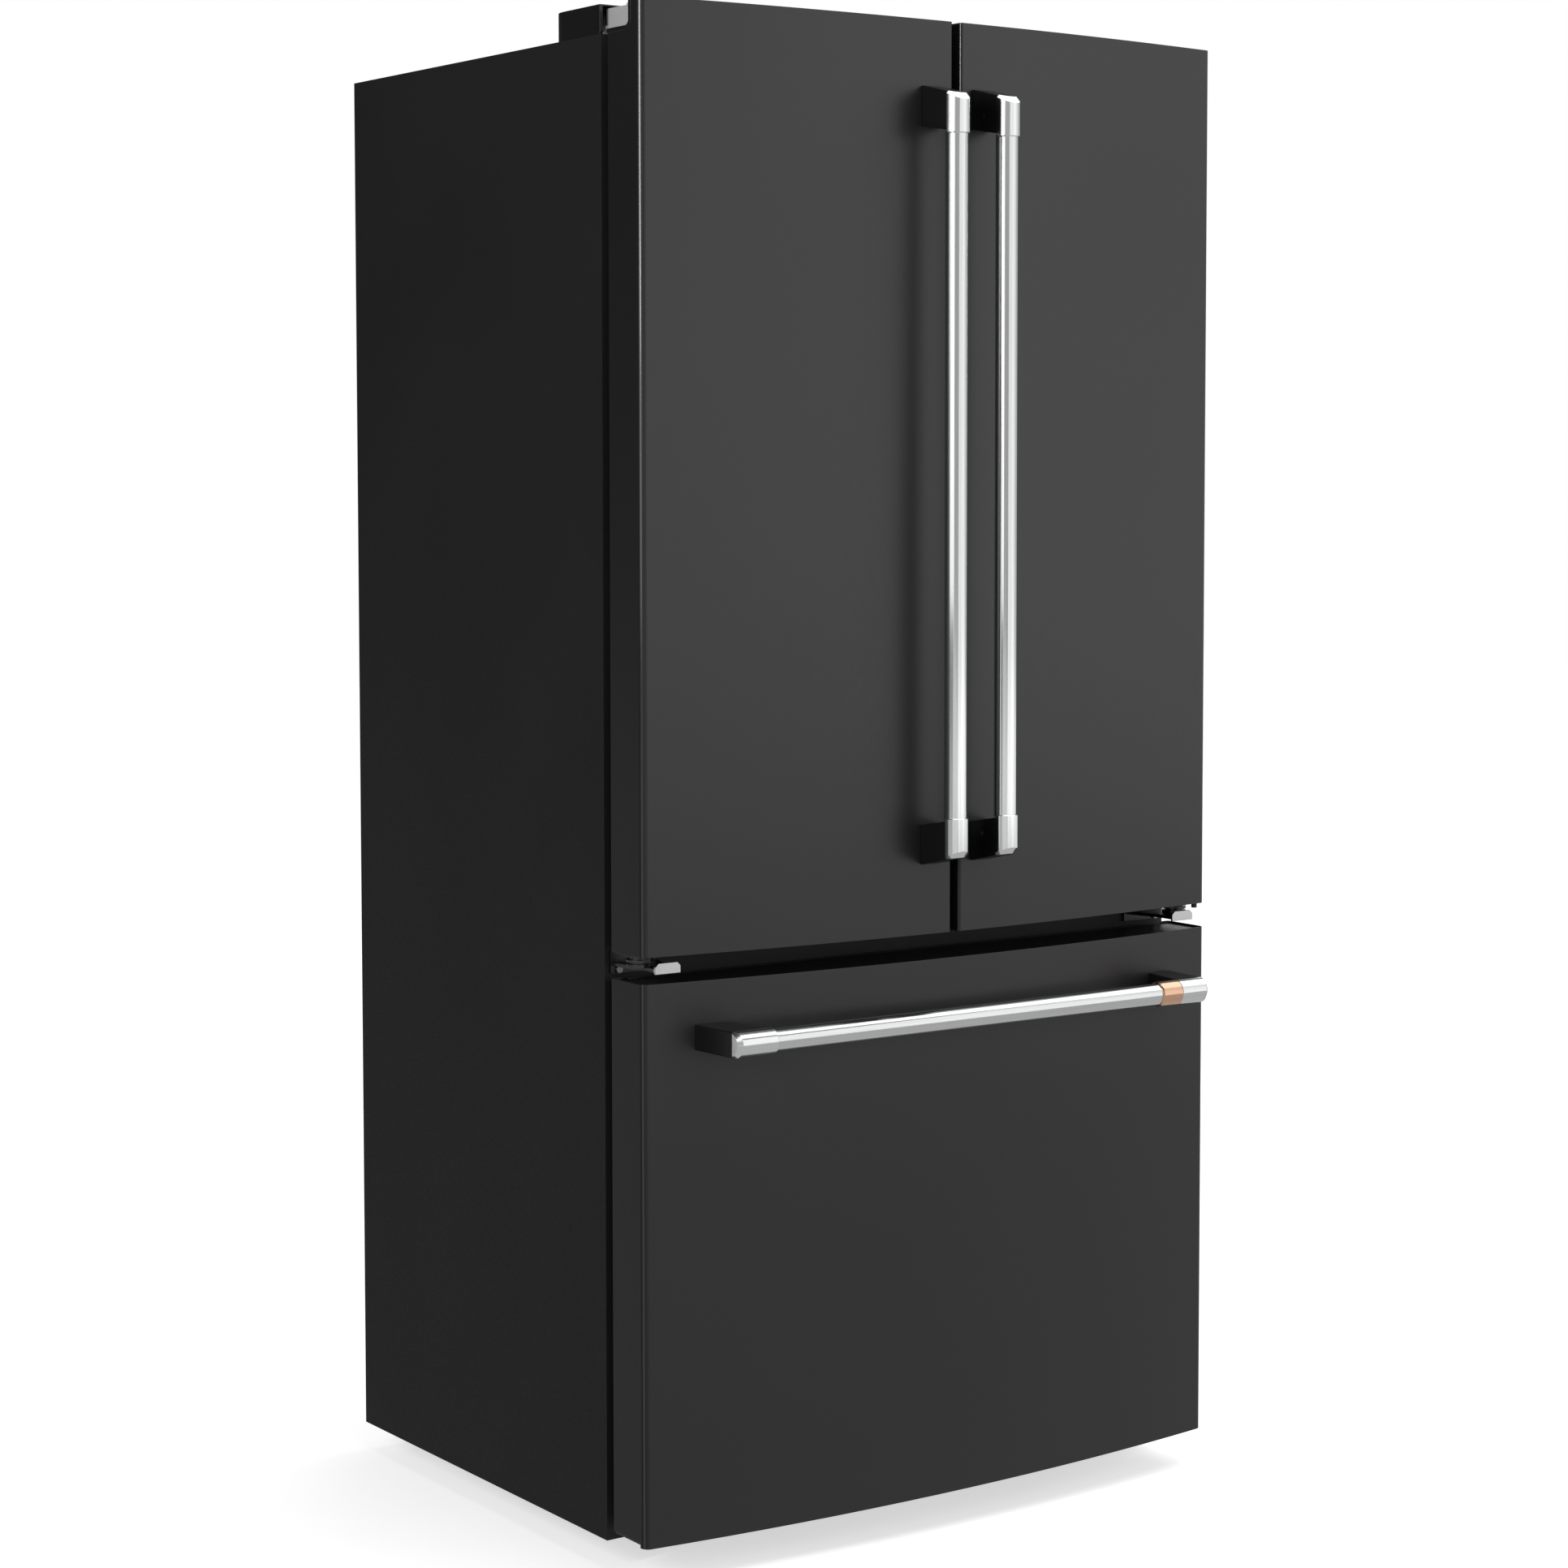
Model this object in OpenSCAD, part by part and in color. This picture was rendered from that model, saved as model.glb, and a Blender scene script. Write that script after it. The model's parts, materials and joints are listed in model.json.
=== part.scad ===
// French door refrigerator with a bottom freezer drawer, in millimetres.
// +X is to the right of a person facing the doors, -Y is the front and +Z is up.
// The origin is on the floor, at the centre of the whole footprint.
// Inside the modules, y = 0 is the front face of the steel case; placed() moves it to the origin above.

/* [Cabinet] */
// Width of the case and of the doors
width = 832; // [824:2:844]
// Height from the floor to the top of the hinge covers
height = 1775; // [1755:5:1795]
// Depth of the steel case without the doors
case_depth = 590; // [586:2:606]
// Height of the case's lower edge above the floor
case_bottom = 35; // [35:1:37]
// Thickness of the insulated side walls, from the outside to the inside
side_wall = 46; // [44:1:48]
// Reach of the wall spacers behind the case
spacer_reach = 29; // [22:1:36]

/* [Door fronts] */
// Height of the drawer's lower edge
drawer_bottom = 45; // [44:1:48]
// Height of the drawer's upper edge
drawer_top = 685; // [683:1:688]
// Gap between the drawer and the doors, where the middle hinges are
hinge_gap = 30; // [30:1:31]
// Gap between the two doors
door_gap = 11; // [9:1:13]
// Gap between the case and the doors, which the gaskets fill
gasket_gap = 13; // [12:0.5:14]
// Distance of the fronts' outer corners before the case
corner_depth = 81; // [79:1:84]
// Rise of the bowed fronts from their outer corners to their middle
bow = 28; // [22:1:34]
// Radius of the outer vertical corners
corner_r = 9; // [6:0.5:10]
// Thickness of the fronts' steel skins
skin_t = 1.2; // [1:0.1:1.5]

/* [Handles] */
// Distance of the handles' axes before the case
handle_reach = 156.5; // [150:0.5:164]
// Diameter of the bars
bar_d = 26.4; // [24:0.2:27]
// Diameter of the end pieces
end_d = 30.5; // [30:0.5:33]
// Length of a door handle over its ends
door_handle_len = 880; // [840:5:900]
// Length of the drawer handle over its ends
drawer_handle_len = 694; // [660:2:710]
// Distance of a door handle's axis from the middle of the cabinet
handle_x = 36.5; // [34:0.5:40]

/* [Inside] */
// Depth of the door bins behind the door panel
bin_depth = 75; // [65:1:80]
// Height of the crispers
crisper_h = 178; // [160:2:180]
// Thickness of the glass shelves
glass_t = 4; // [3:0.5:5]
// Fins on the evaporator
evaporator_fins = 20; // [12:1:26]
// Fins on the condenser
condenser_fins = 12; // [8:1:16]

/* [Hidden] */
$fn = 48;

// Cabinet
half = width / 2;
sheet = 1;
case_top = height - 34;
footprint_front = handle_reach + end_d / 2;
case_front = (footprint_front - case_depth - spacer_reach) / 2;
liner_t = 2;
liner_x = half - side_wall;
room_x = liner_x - liner_t;

// Fronts
door_top = height - 1;
door_bottom = drawer_top + hinge_gap;
door_edge = door_gap / 2;
cap_recess = 3;
cap_h = 38;
bow_r = (half * half + bow * bow) / (2 * bow);
bow_y = bow_r - corner_depth - bow;
skin_return = 14;
free_corner_r = 4.5;
rear_corner_r = 3;

// Compartments
fresh_low = door_bottom + 28;
fresh_high = case_top - 48;
fresh_back = case_depth - 63;
freezer_low = drawer_bottom + 48;
freezer_high = drawer_top - 23;
machine_y = case_depth - 198;
machine_top = 262;
step_y = machine_y - 35;
step_z = machine_top + 28;
floor_z = fresh_low + liner_t;

// Hinges
pin_x = half - 18;
pin_y = -44;
pin_r = 5;
running = 0.05;
recess_z = door_top - 29;
recess_x = half - 52;
recess_front = -58;
recess_r = 6;
arm_low = recess_z + 3;
arm_high = recess_z + 26;
knuckle_r = 9.5;
top_screws = [[half - 62, 34], [half - 14, 62], [half - 41, 100]];
mid_screws = [[half - 16, drawer_top + 7.4], [half - 56, drawer_top + 22]];
screw_r = 3;
screw_hole_r = 3.2;

// Gaskets and door panels
gasket_w = 20;
gasket_out = liner_x + 17;
gasket_in = 8;
dyke_in = 40;
dyke_out = liner_x - 15;
dyke_t = 15;
dyke_y = 45;
dyke_low = fresh_low + 14;
dyke_high = fresh_high - 19;
pocket_y = -38;
bin_z = [dyke_low + 28, dyke_low + 353, dyke_low + 673];
bin_h = [112, 86, 80];
bin_t = 2.5;
flap_pivot = [-26, 10];
flap_low = dyke_low + 15;
flap_high = dyke_high - 14;
guide_arc = 40;

// Shelves and crispers
shelf_front = 98;
shelf_back = fresh_back - 29;
shelf_h = 14;
left_shelves = [fresh_low + 427, fresh_low + 687];
right_shelves = [fresh_low + 367, fresh_low + 647];
track_x = [75, liner_x - 25];
crisper_low = floor_z + 7;
crisper_y = [95, fresh_back - 22];
crisper_x = [6, liner_x - 20];
cover_z = crisper_low + crisper_h + 5;

// Freezer drawer slides
rail_z = 310;
rail_h = 40;
rail_back = step_y - 7;
basket_ledge_low = 380;
basket_ledge_high = 400;
plate_x = room_x - 16;

// Handles
band_len = 31;
door_handle_low = door_bottom + 93;
drawer_handle_z = drawer_top - 63.5;
drawer_handle_x = -drawer_handle_len / 2 - 1;
drawer_end_left = 54;
drawer_end_right = 44;
end_back = -0.5;
post_w = 29.5;
door_post_flare = 16.5;
drawer_post_flare = 5;
post_reach = handle_reach - corner_depth;

// Machine space
fan_y = machine_y + 98;
fan_z = 148;
evap_fan_z = freezer_high - 72;
evap_cover_y = fresh_back - 72;
compressor_x = 190;
compressor_r = 74;
roller_r = 15;
roller_y = case_depth - 35;
roller_x = 345;
leg_x = 320;
leg_y = 60;
base_low = 24;

// ---- helpers ----

module placed() {
    translate([0, case_front, 0]) children();
}

module both_sides() {
    children();
    mirror([1, 0, 0]) children();
}

module left_side() {
    mirror([1, 0, 0]) children();
}

// Block between two opposite corners
module block(low, high) {
    translate(low) cube(high - low);
}

// Profile drawn in the plane of depth and height, extruded along X
module along_x(x0, x1) {
    translate([x0, 0, 0]) rotate([90, 0, 90]) linear_extrude(x1 - x0) children();
}

module tube_y(r, y0, y1, sides = 48) {
    translate([0, y0, 0]) rotate([-90, 0, 0]) cylinder(h = y1 - y0, r = r, $fn = sides);
}

module tube_x(r, x0, x1, sides = 48) {
    translate([x0, 0, 0]) rotate([0, 90, 0]) cylinder(h = x1 - x0, r = r, $fn = sides);
}

// Centre of the rounding between the bowed front and an upright side
function bow_corner(x, side, r, inset) =
    [x - side * r, bow_y - sqrt(pow(bow_r - inset - r, 2) - pow(x - side * r, 2))];

// Outline of a front seen from above, from x0 to x1, with every face moved in by inset
module front_plan(x0, x1, r0, r1, inset = 0) {
    low = x0 + inset;
    high = x1 - inset;
    rear = -gasket_gap - inset;
    left = bow_corner(low, -1, r0 - inset, inset);
    right = bow_corner(high, 1, r1 - inset, inset);
    difference() {
        intersection() {
            translate([0, bow_y]) circle(r = bow_r - inset, $fn = 720);
            translate([low, -2 * corner_depth]) square([high - low, 2 * corner_depth + rear]);
        }
        corner_waste(left, low - 1);
        corner_waste(right, high + 1);
        translate([high - rear_corner_r, rear - rear_corner_r]) square(2 * rear_corner_r);
    }
    translate(left) circle(r = r0 - inset);
    translate(right) circle(r = r1 - inset);
    translate([high - rear_corner_r, rear - rear_corner_r]) circle(r = rear_corner_r);
}

// Waste outside a rounded corner: from its centre to the upright side and to the bowed front
module corner_waste(centre, outside) {
    foot = centre + 0.01 * (centre - [0, bow_y]);
    polygon([[outside, centre[1]], centre, foot, [outside, foot[1]]]);
}

module door_plan(inset = 0) {
    front_plan(door_edge, half, free_corner_r, corner_r, inset);
}

module drawer_plan(inset = 0) {
    intersection() {
        front_plan(-half, half, corner_r, corner_r, inset);
        mirror([1, 0]) front_plan(-half, half, corner_r, corner_r, inset);
    }
}

// What fills a skin: everything inside it, and the open back between its returns
module door_core_plan() {
    door_plan(skin_t);
    translate([door_edge + skin_return, -gasket_gap - 2 * skin_t])
        square([half - door_edge - 2 * skin_return, 2 * skin_t]);
}

module drawer_core_plan() {
    drawer_plan(skin_t);
    translate([skin_return - half, -gasket_gap - 2 * skin_t])
        square([2 * (half - skin_return), 2 * skin_t]);
}

module upright(z0, z1) {
    translate([0, 0, z0]) linear_extrude(z1 - z0) children();
}

// Space at the top outer corner of a door, where the hinge arm goes in
module hinge_recess() {
    along_x(recess_x, half + 5) {
        translate([recess_front + recess_r, recess_z]) square([60, 60]);
        translate([recess_front, recess_z + recess_r]) square([60, 60]);
        translate([recess_front + recess_r, recess_z + recess_r]) circle(r = recess_r);
    }
}

module bow_cylinder(z0, z1) {
    translate([0, bow_y, z0]) cylinder(h = z1 - z0, r = bow_r, $fn = 720);
}

// Tube run to and fro: rows along X, stacked along Z, joined by half-round bends
module serpentine(x0, x1, rows, pitch, r) {
    for (row = [0 : rows - 1]) {
        translate([0, 0, row * pitch]) tube_x(r, x0, x1, 24);
    }
    for (row = [0 : rows - 2]) {
        end = row % 2 == 0 ? x1 : x0;
        turn = row % 2 == 0 ? 0 : 180;
        translate([end, 0, (row + 0.5) * pitch]) rotate([90, turn, 0])
            rotate([0, 0, -90]) rotate_extrude(angle = 180) translate([pitch / 2, 0]) circle(r = r, $fn = 24);
    }
}

// Open box with round front corners, its front towards +Y
module tray_plan(x0, x1, y0, y1, r, inset) {
    translate([x0 + inset, y0 + inset]) square([x1 - x0 - 2 * inset, y1 - y0 - r - inset]);
    translate([x0 + r, y0 + inset]) square([x1 - x0 - 2 * r, y1 - y0 - 2 * inset]);
    translate([x0 + r, y1 - r]) circle(r = r - inset);
    translate([x1 - r, y1 - r]) circle(r = r - inset);
}

// ---- cabinet ----

module outer_case() {
    color("#26272a") placed() difference() {
        union() {
            both_sides() block([half - sheet, 0, case_bottom], [half, case_depth, case_top]);
            block([-half, 0, case_top - sheet], [half, case_depth, case_top]);
            block([-half, 0, case_bottom], [half, machine_y, case_bottom + sheet]);
            block([-half, 0, case_bottom], [half, sheet, case_top]);
        }
        block([-liner_x, -1, fresh_low], [liner_x, 2, fresh_high]);
        block([-liner_x, -1, freezer_low], [liner_x, 2, freezer_high]);
        both_sides() screw_holes(sheet + 1);
    }
}

// Holes of the given depth under the screws of the hinges
module screw_holes(depth) {
    for (p = top_screws) {
        translate([p[0], p[1], case_top - depth]) cylinder(h = depth + 1, r = screw_hole_r);
    }
    for (p = mid_screws) {
        translate([p[0], 0, p[1]]) tube_y(screw_hole_r, -1, depth);
    }
}

module foam_insulation() {
    color("#e8d9a8") placed() difference() {
        block([sheet - half, sheet, case_bottom + sheet],
            [half - sheet, case_depth - sheet, case_top - sheet]);
        block([-liner_x, -1, fresh_low], [liner_x, fresh_back, fresh_high]);
        along_x(-liner_x, liner_x) freezer_profile(0);
        block([-half, machine_y, 0], [half, case_depth, machine_top + sheet]);
        both_sides() screw_holes(16);
    }
}

// Freezer compartment seen from the side, with the step over the machine space
module freezer_profile(inset) {
    translate([-1, freezer_low + inset])
        square([step_y + 1 - inset, freezer_high - freezer_low - 2 * inset]);
    translate([-1, step_z + inset])
        square([fresh_back + 1 - inset, freezer_high - step_z - 2 * inset]);
}

module fresh_food_liner() {
    color("#f2f3f3") placed() {
        difference() {
            block([-liner_x, 0, fresh_low], [liner_x, fresh_back, fresh_high]);
            block([-room_x, -1, floor_z], [room_x, fresh_back - liner_t, fresh_high - liner_t]);
        }
        both_sides() {
            // Ledge that carries the crisper cover
            block([room_x - 10, shelf_front, cover_z - 10], [room_x + 1, shelf_back, cover_z]);
            // Ribs that the crispers slide on
            for (x = [60, liner_x - 70]) {
                block([x, crisper_y[0], floor_z - 1], [x + 6, crisper_y[1], crisper_low - 0.3]);
            }
        }
    }
}

module freezer_liner() {
    color("#f2f3f3") placed() difference() {
        intersection() {
            along_x(-liner_x, liner_x) freezer_profile(0);
            block([-half, 0, 0], [half, case_depth, case_top]);
        }
        along_x(-room_x, room_x) freezer_profile(liner_t);
    }
}

module back_panel() {
    inner = half - sheet;
    color("#8d9094") placed() {
        block([-inner, case_depth - sheet, machine_top], [inner, case_depth, case_top - sheet]);
        block([-inner, machine_y, machine_top], [inner, case_depth, machine_top + sheet]);
        block([-inner, machine_y, case_bottom], [inner, machine_y + sheet, machine_top + sheet]);
    }
}

module compressor_cover() {
    inlet_x = -300;
    gland_x = 340;
    color("#2c2d2f") placed() difference() {
        union() {
            block([16 - half, case_depth, 48], [half - 16, case_depth + 2, machine_top + 16]);
            // Wall spacers
            both_sides() block([half - 80, case_depth, machine_top - 60],
                [half - 30, case_depth + spacer_reach, machine_top]);
            // Water inlet: hexagon and stub
            translate([inlet_x, case_depth, 130]) {
                tube_y(10, 1, 8, 6);
                tube_y(5.56, 7, 22);
            }
            // Gland of the power cord
            translate([gland_x, case_depth, 110]) tube_y(12, 1, 14);
        }
        translate([gland_x, case_depth, 110]) tube_y(4.2, -1, 15);
        // Air slots
        for (x = [-220 : 22 : 220], z = [75, 165]) {
            block([x, case_depth - 1, z], [x + 8, case_depth + 3, z + 70]);
        }
    }
}

module base_frame() {
    channel_x = half - 46;
    color("#3a3c40") placed() {
        difference() {
            union() {
                // Side channels
                both_sides() difference() {
                    block([channel_x, 44, base_low], [channel_x + 25, case_depth - 5, case_bottom]);
                    block([channel_x + 2, 43, base_low - 1],
                        [channel_x + 23, case_depth, case_bottom - 2]);
                }
                // Front cross member and the nuts of the legs
                block([-channel_x - 1, leg_y - 25, case_bottom - 4],
                    [channel_x + 1, leg_y + 25, case_bottom]);
                both_sides() translate([leg_x, leg_y, base_low])
                    cylinder(h = case_bottom - base_low, r = 11);
                // Deck under the compressor
                block([-channel_x - 1, machine_y + 3, case_bottom - 2],
                    [channel_x + 1, case_depth - 5, case_bottom]);
                // Forks of the rollers
                both_sides() for (x = [roller_x - 17, roller_x + 15]) {
                    block([x, roller_y - 13, 8], [x + 2, roller_y + 13, case_bottom - 1]);
                }
            }
            both_sides() translate([leg_x, leg_y, base_low - 1])
                cylinder(h = case_bottom - base_low + 2, r = 5 + running);
        }
        both_sides() translate([0, roller_y, roller_r]) tube_x(4, roller_x - 17, roller_x + 17);
    }
}

module compressor() {
    y = fan_y;
    low = case_bottom + 18;
    tall = 150;
    edge = 24;
    color("#1c1d1f") placed() translate([compressor_x, y, 0]) {
        // Rubber feet and mounting plate
        for (sx = [-1, 1], sy = [-1, 1]) {
            translate([sx * 78, sy * 55, case_bottom]) cylinder(h = 16, r = 10);
        }
        block([-90, -67, case_bottom + 15], [90, 67, low + 1]);
        // Shell with round shoulders
        translate([0, 0, low]) rotate_extrude($fn = 96) {
            square([compressor_r - edge, tall]);
            square([compressor_r, tall - edge]);
            translate([compressor_r - edge, tall - edge]) intersection() {
                circle(r = edge);
                square(edge);
            }
        }
        // Electrical box
        block([compressor_r - 14, -26, low + 45], [compressor_r + 26, 26, low + 105]);
        // Suction and discharge stubs
        translate([0, 0, low + 100]) tube_x(5, -compressor_r - 30, 0, 24);
        translate([0, 30, low + 50]) tube_x(4, -compressor_r - 30, 0, 24);
    }
}

module condenser_coil() {
    color("#2a2b2d") placed() {
        for (y = [fan_y - 60, fan_y, fan_y + 60]) {
            translate([0, y, 66]) serpentine(-345, -115, 6, 30, 3.2);
        }
        for (k = [0 : condenser_fins - 1]) {
            x = -335 + k * 210 / (condenser_fins - 1);
            block([x, fan_y - 72, 54], [x + 0.8, fan_y + 72, 228]);
        }
    }
}

module condenser_fan_shroud() {
    color("#2e2f31") placed() translate([0, fan_y, fan_z]) difference() {
        union() {
            block([-62, machine_y + 2 - fan_y, case_bottom - fan_z],
                [-58, case_depth - 4 - fan_y, machine_top - 2 - fan_z]);
            tube_x(79, -62, -30, 96);
            tube_x(27, 0, 36);
            for (turn = [30, 150, 270]) rotate([turn, 0, 0]) {
                block([-4, -6, 20], [2, 6, 79]);
                block([-34, -6, 75.5], [2, 6, 79]);
            }
        }
        tube_x(75, -63, -29, 96);
        tube_x(3 + running, -5, 24);
    }
}

// Blades between two radii about the X axis, set at a pitch angle
module fan_blades(count, hub, tip, low, high, pitch) {
    for (k = [0 : count - 1]) rotate([k * 360 / count, 0, 0]) intersection() {
        translate([(low + high) / 2, 0, 0]) rotate([0, 0, pitch])
            block([-0.9, -tip, hub - 3], [0.9, tip, tip + 1]);
        tube_x(tip, low, high, 96);
    }
}

module condenser_fan_blade() {
    color("#55585c") placed() translate([0, fan_y, fan_z]) {
        tube_x(20, -51, -29);
        tube_x(3, -30, 20);
        fan_blades(5, 20, 72, -50, -30, 55);
    }
}

module evaporator_coil() {
    y = evap_cover_y + 48;
    color("#b9bdc2") placed() {
        for (dy = [-11, 11]) {
            translate([0, y + dy, step_z + 42]) serpentine(-290, 290, 6, 34, 4);
        }
        for (k = [0 : evaporator_fins - 1]) {
            x = -275 + k * 549 / (evaporator_fins - 1);
            block([x, y - 19, step_z + 28], [x + 0.8, y + 19, step_z + 226]);
        }
    }
}

module evaporator_cover() {
    y = evap_cover_y;
    color("#e9ebec") placed() difference() {
        union() {
            block([2 - room_x, y, step_z + 4], [room_x - 2, y + 3, freezer_high - 4]);
            translate([0, 0, evap_fan_z]) {
                tube_y(53, y, y + 27, 96);
                tube_y(22, y + 31, y + 56);
                for (turn = [0, 120, 240]) rotate([0, turn, 0]) {
                    block([-5, y + 27, 18], [5, y + 32, 53]);
                    block([-5, y + 26, 50.5], [5, y + 32, 53]);
                }
            }
        }
        translate([0, 0, evap_fan_z]) {
            tube_y(50, y + 3, y + 28, 96);
            tube_y(2.5 + running, y + 26, y + 50);
            // Outlet grille
            for (x = [-36 : 12 : 36]) {
                block([x - 3, y - 1, -32], [x + 3, y + 4, 32]);
            }
        }
        // Return air grille
        for (x = [-300 : 20 : 300]) {
            block([x - 4, y - 1, step_z + 14], [x + 4, y + 4, step_z + 44]);
        }
    }
}

module evaporator_fan_blade() {
    y = evap_cover_y;
    color("#d4d7da") placed() translate([0, 0, evap_fan_z]) rotate([0, 0, 90]) {
        tube_x(14, y + 7, y + 23);
        tube_x(2.5, y + 22, y + 48);
        fan_blades(5, 14, 46, y + 8, y + 22, 55);
    }
}

module air_tower() {
    color("#eceeee") placed() difference() {
        block([-55, shelf_back + 5, cover_z + 25], [55, fresh_back - liner_t, fresh_high - 93]);
        block([-50, shelf_back + 8, cover_z + 30], [50, fresh_back - liner_t + 1, fresh_high - 98]);
        for (z = [cover_z + 90 : 130 : fresh_high - 170], x = [-34, 10]) {
            block([x, shelf_back, z], [x + 24, shelf_back + 12, z + 8]);
        }
    }
}

module control_panel() {
    high = fresh_high - liner_t;
    color("#dfe2e4") placed() difference() {
        block([-150, 90, high - 22], [150, 220, high]);
        block([-140, 100, high - 19], [140, 210, high + 1]);
        // Window of the touch display
        block([-60, 89, high - 17], [60, 92, high - 5]);
        // Window of the ceiling light
        block([-90, 140, high - 23], [90, 190, high - 18]);
    }
}

// Half-width shelf: a rim that holds a pane, and two arms that hang in the tracks
module shelf_frame(z) {
    x0 = 8;
    x1 = room_x - 6;
    difference() {
        block([x0, shelf_front, z], [x1, shelf_back, z + shelf_h]);
        block([x0 + 12, shelf_front + 14, z - 1], [x1 - 12, shelf_back - 12, z + shelf_h + 1]);
        shelf_pane(z);
    }
    for (x = track_x) {
        along_x(x - 1.5, x + 1.5) polygon([[shelf_back - 240, z + 1], [fresh_back - 10, z + 1],
            [fresh_back - 10, z - 44], [shelf_back - 20, z - 44], [shelf_back - 240, z - 14]]);
    }
}

module shelf_pane(z) {
    block([14, shelf_front + 6, z + shelf_h - glass_t], [room_x - 12, shelf_back - 6, z + shelf_h]);
}

module shelf_frames() {
    color("#c9ccd0") placed() {
        for (z = right_shelves) {
            shelf_frame(z);
        }
        for (z = left_shelves) {
            left_side() shelf_frame(z);
        }
        // Tracks on the back wall
        both_sides() for (x = track_x) difference() {
            block([x - 5, fresh_back - 10, cover_z + 45], [x + 5, fresh_back - liner_t, fresh_high - 53]);
            block([x - 3, fresh_back - 8, cover_z + 40], [x + 3, fresh_back, fresh_high - 50]);
        }
        // Cover of the crispers with its middle leg
        difference() {
            union() {
                block([1 - room_x, shelf_front, cover_z], [room_x - 1, shelf_back, cover_z + 10]);
                block([-3, shelf_front, floor_z], [3, shelf_back, cover_z + 1]);
            }
            both_sides() block([12, shelf_front + 14, cover_z - 1],
                [room_x - 16, shelf_back - 14, cover_z + 11]);
            cover_panes();
        }
    }
}

module cover_panes() {
    both_sides() block([6, shelf_front + 6, cover_z + 10 - glass_t],
        [room_x - 8, shelf_back - 6, cover_z + 10]);
}

module shelf_panes() {
    color("#cfe6e4") placed() {
        for (z = right_shelves) {
            shelf_pane(z);
        }
        for (z = left_shelves) {
            left_side() shelf_pane(z);
        }
        cover_panes();
    }
}

// ---- hinges ----

module top_hinges() {
    color("#c8cacc") placed() both_sides() difference() {
        union() {
            // Plate on the case
            upright(case_top, case_top + 4) polygon([[half - 74, 11], [half - 7, 11], [half - 7, 84],
                [half - 26, 114], [half - 56, 114], [half - 74, 84]]);
            block([half - 54, 11, case_top], [half - 14, 27, arm_low + 4]);
            // Arm from the plate to the knuckle, with an upright flange
            translate([pin_x, pin_y, arm_low]) {
                block([-12, 0, 0], [1.5, 71, 4]);
                block([-1.5, 0, 0], [1.5, 58, arm_high - arm_low]);
            }
            translate([pin_x, pin_y, arm_low]) cylinder(h = arm_high - arm_low, r = knuckle_r);
            translate([pin_x, pin_y, arm_low - 36]) cylinder(h = 37, r = pin_r);
        }
        for (p = top_screws) {
            translate([p[0], p[1], case_top - 1]) cylinder(h = 30, r = screw_hole_r);
        }
    }
}

module hinge_covers() {
    x0 = half - 78;
    x1 = half - 4;
    low = case_top + 0.3;
    color("#0d0d0e") placed() both_sides() {
        difference() {
            upright(low, height) cover_plan(x0, x1, 8, 122, 34, 0);
            upright(low - 1, height - 2) cover_plan(x0, x1, 8, 122, 34, 2);
            // Way out for the arm
            block([half - 56, 7, low - 1], [half - 8, 11, arm_high + 2]);
        }
        // Boss that stands on the hinge plate
        translate([half - 42, 62, case_top + 4]) cylinder(h = height - 5.5 - case_top, r = 5);
    }
}

// Plate with widely rounded rear corners
module cover_plan(x0, x1, y0, y1, r, inset) {
    translate([x0 + inset, y0 + inset]) square([x1 - x0 - 2 * inset, y1 - y0 - r - inset]);
    translate([x0 + r, y0 + inset]) square([x1 - x0 - 2 * r, y1 - y0 - 2 * inset]);
    for (x = [x0 + r, x1 - r]) {
        translate([x, y1 - r]) circle(r = r - inset);
    }
}

module mid_hinges() {
    arm_z = drawer_top + 12;
    tab_x0 = half - 51;
    tab_x1 = half - 18;
    tab_y = 2 - corner_depth;
    color("#b9bbbd") placed() both_sides() difference() {
        union() {
            // Plate on the front of the case
            block([half - 66, -4, drawer_top + 3], [half - 6, 0, door_bottom - 2]);
            // Arm
            upright(arm_z, arm_z + 4) polygon([[half - 64, -3], [half - 8, -3], [half - 10, -44],
                [tab_x1, -58], [tab_x1, tab_y + 1], [tab_x0, tab_y + 1], [tab_x0, -50], [half - 60, -20]]);
            // Tab at the front of the arm, with chamfered upper corners
            translate([0, tab_y + 3, 0]) rotate([90, 0, 0]) linear_extrude(3)
                polygon([[tab_x0, arm_z - 2], [tab_x1, arm_z - 2], [tab_x1, arm_z + 6],
                    [tab_x1 - 4, arm_z + 10], [tab_x0 + 4, arm_z + 10], [tab_x0, arm_z + 6]]);
            // Washers and pin
            translate([pin_x, pin_y, arm_z + 4]) {
                translate([0, 0, -1]) cylinder(h = 4, r = 15);
                cylinder(h = 8, r = 9);
                translate([0, 0, 5]) cylinder(h = 3, r = 15);
                cylinder(h = 12.3, r = 11);
                cylinder(h = 34, r = pin_r);
            }
        }
        for (p = mid_screws) {
            translate([p[0], 0, p[1]]) tube_y(screw_hole_r, -5, 1);
        }
    }
}

module hinge_screws() {
    color("#a9acaf") placed() both_sides() {
        for (p = top_screws) translate([p[0], p[1], case_top]) {
            translate([0, 0, -15]) cylinder(h = 20, r = screw_r);
            translate([0, 0, 4]) cylinder(h = 5, r = 6.5, $fn = 6);
        }
        for (p = mid_screws) translate([p[0], 0, p[1]]) {
            tube_y(screw_r, -5, 15);
            tube_y(4.2, -7, -4);
        }
    }
}

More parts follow.
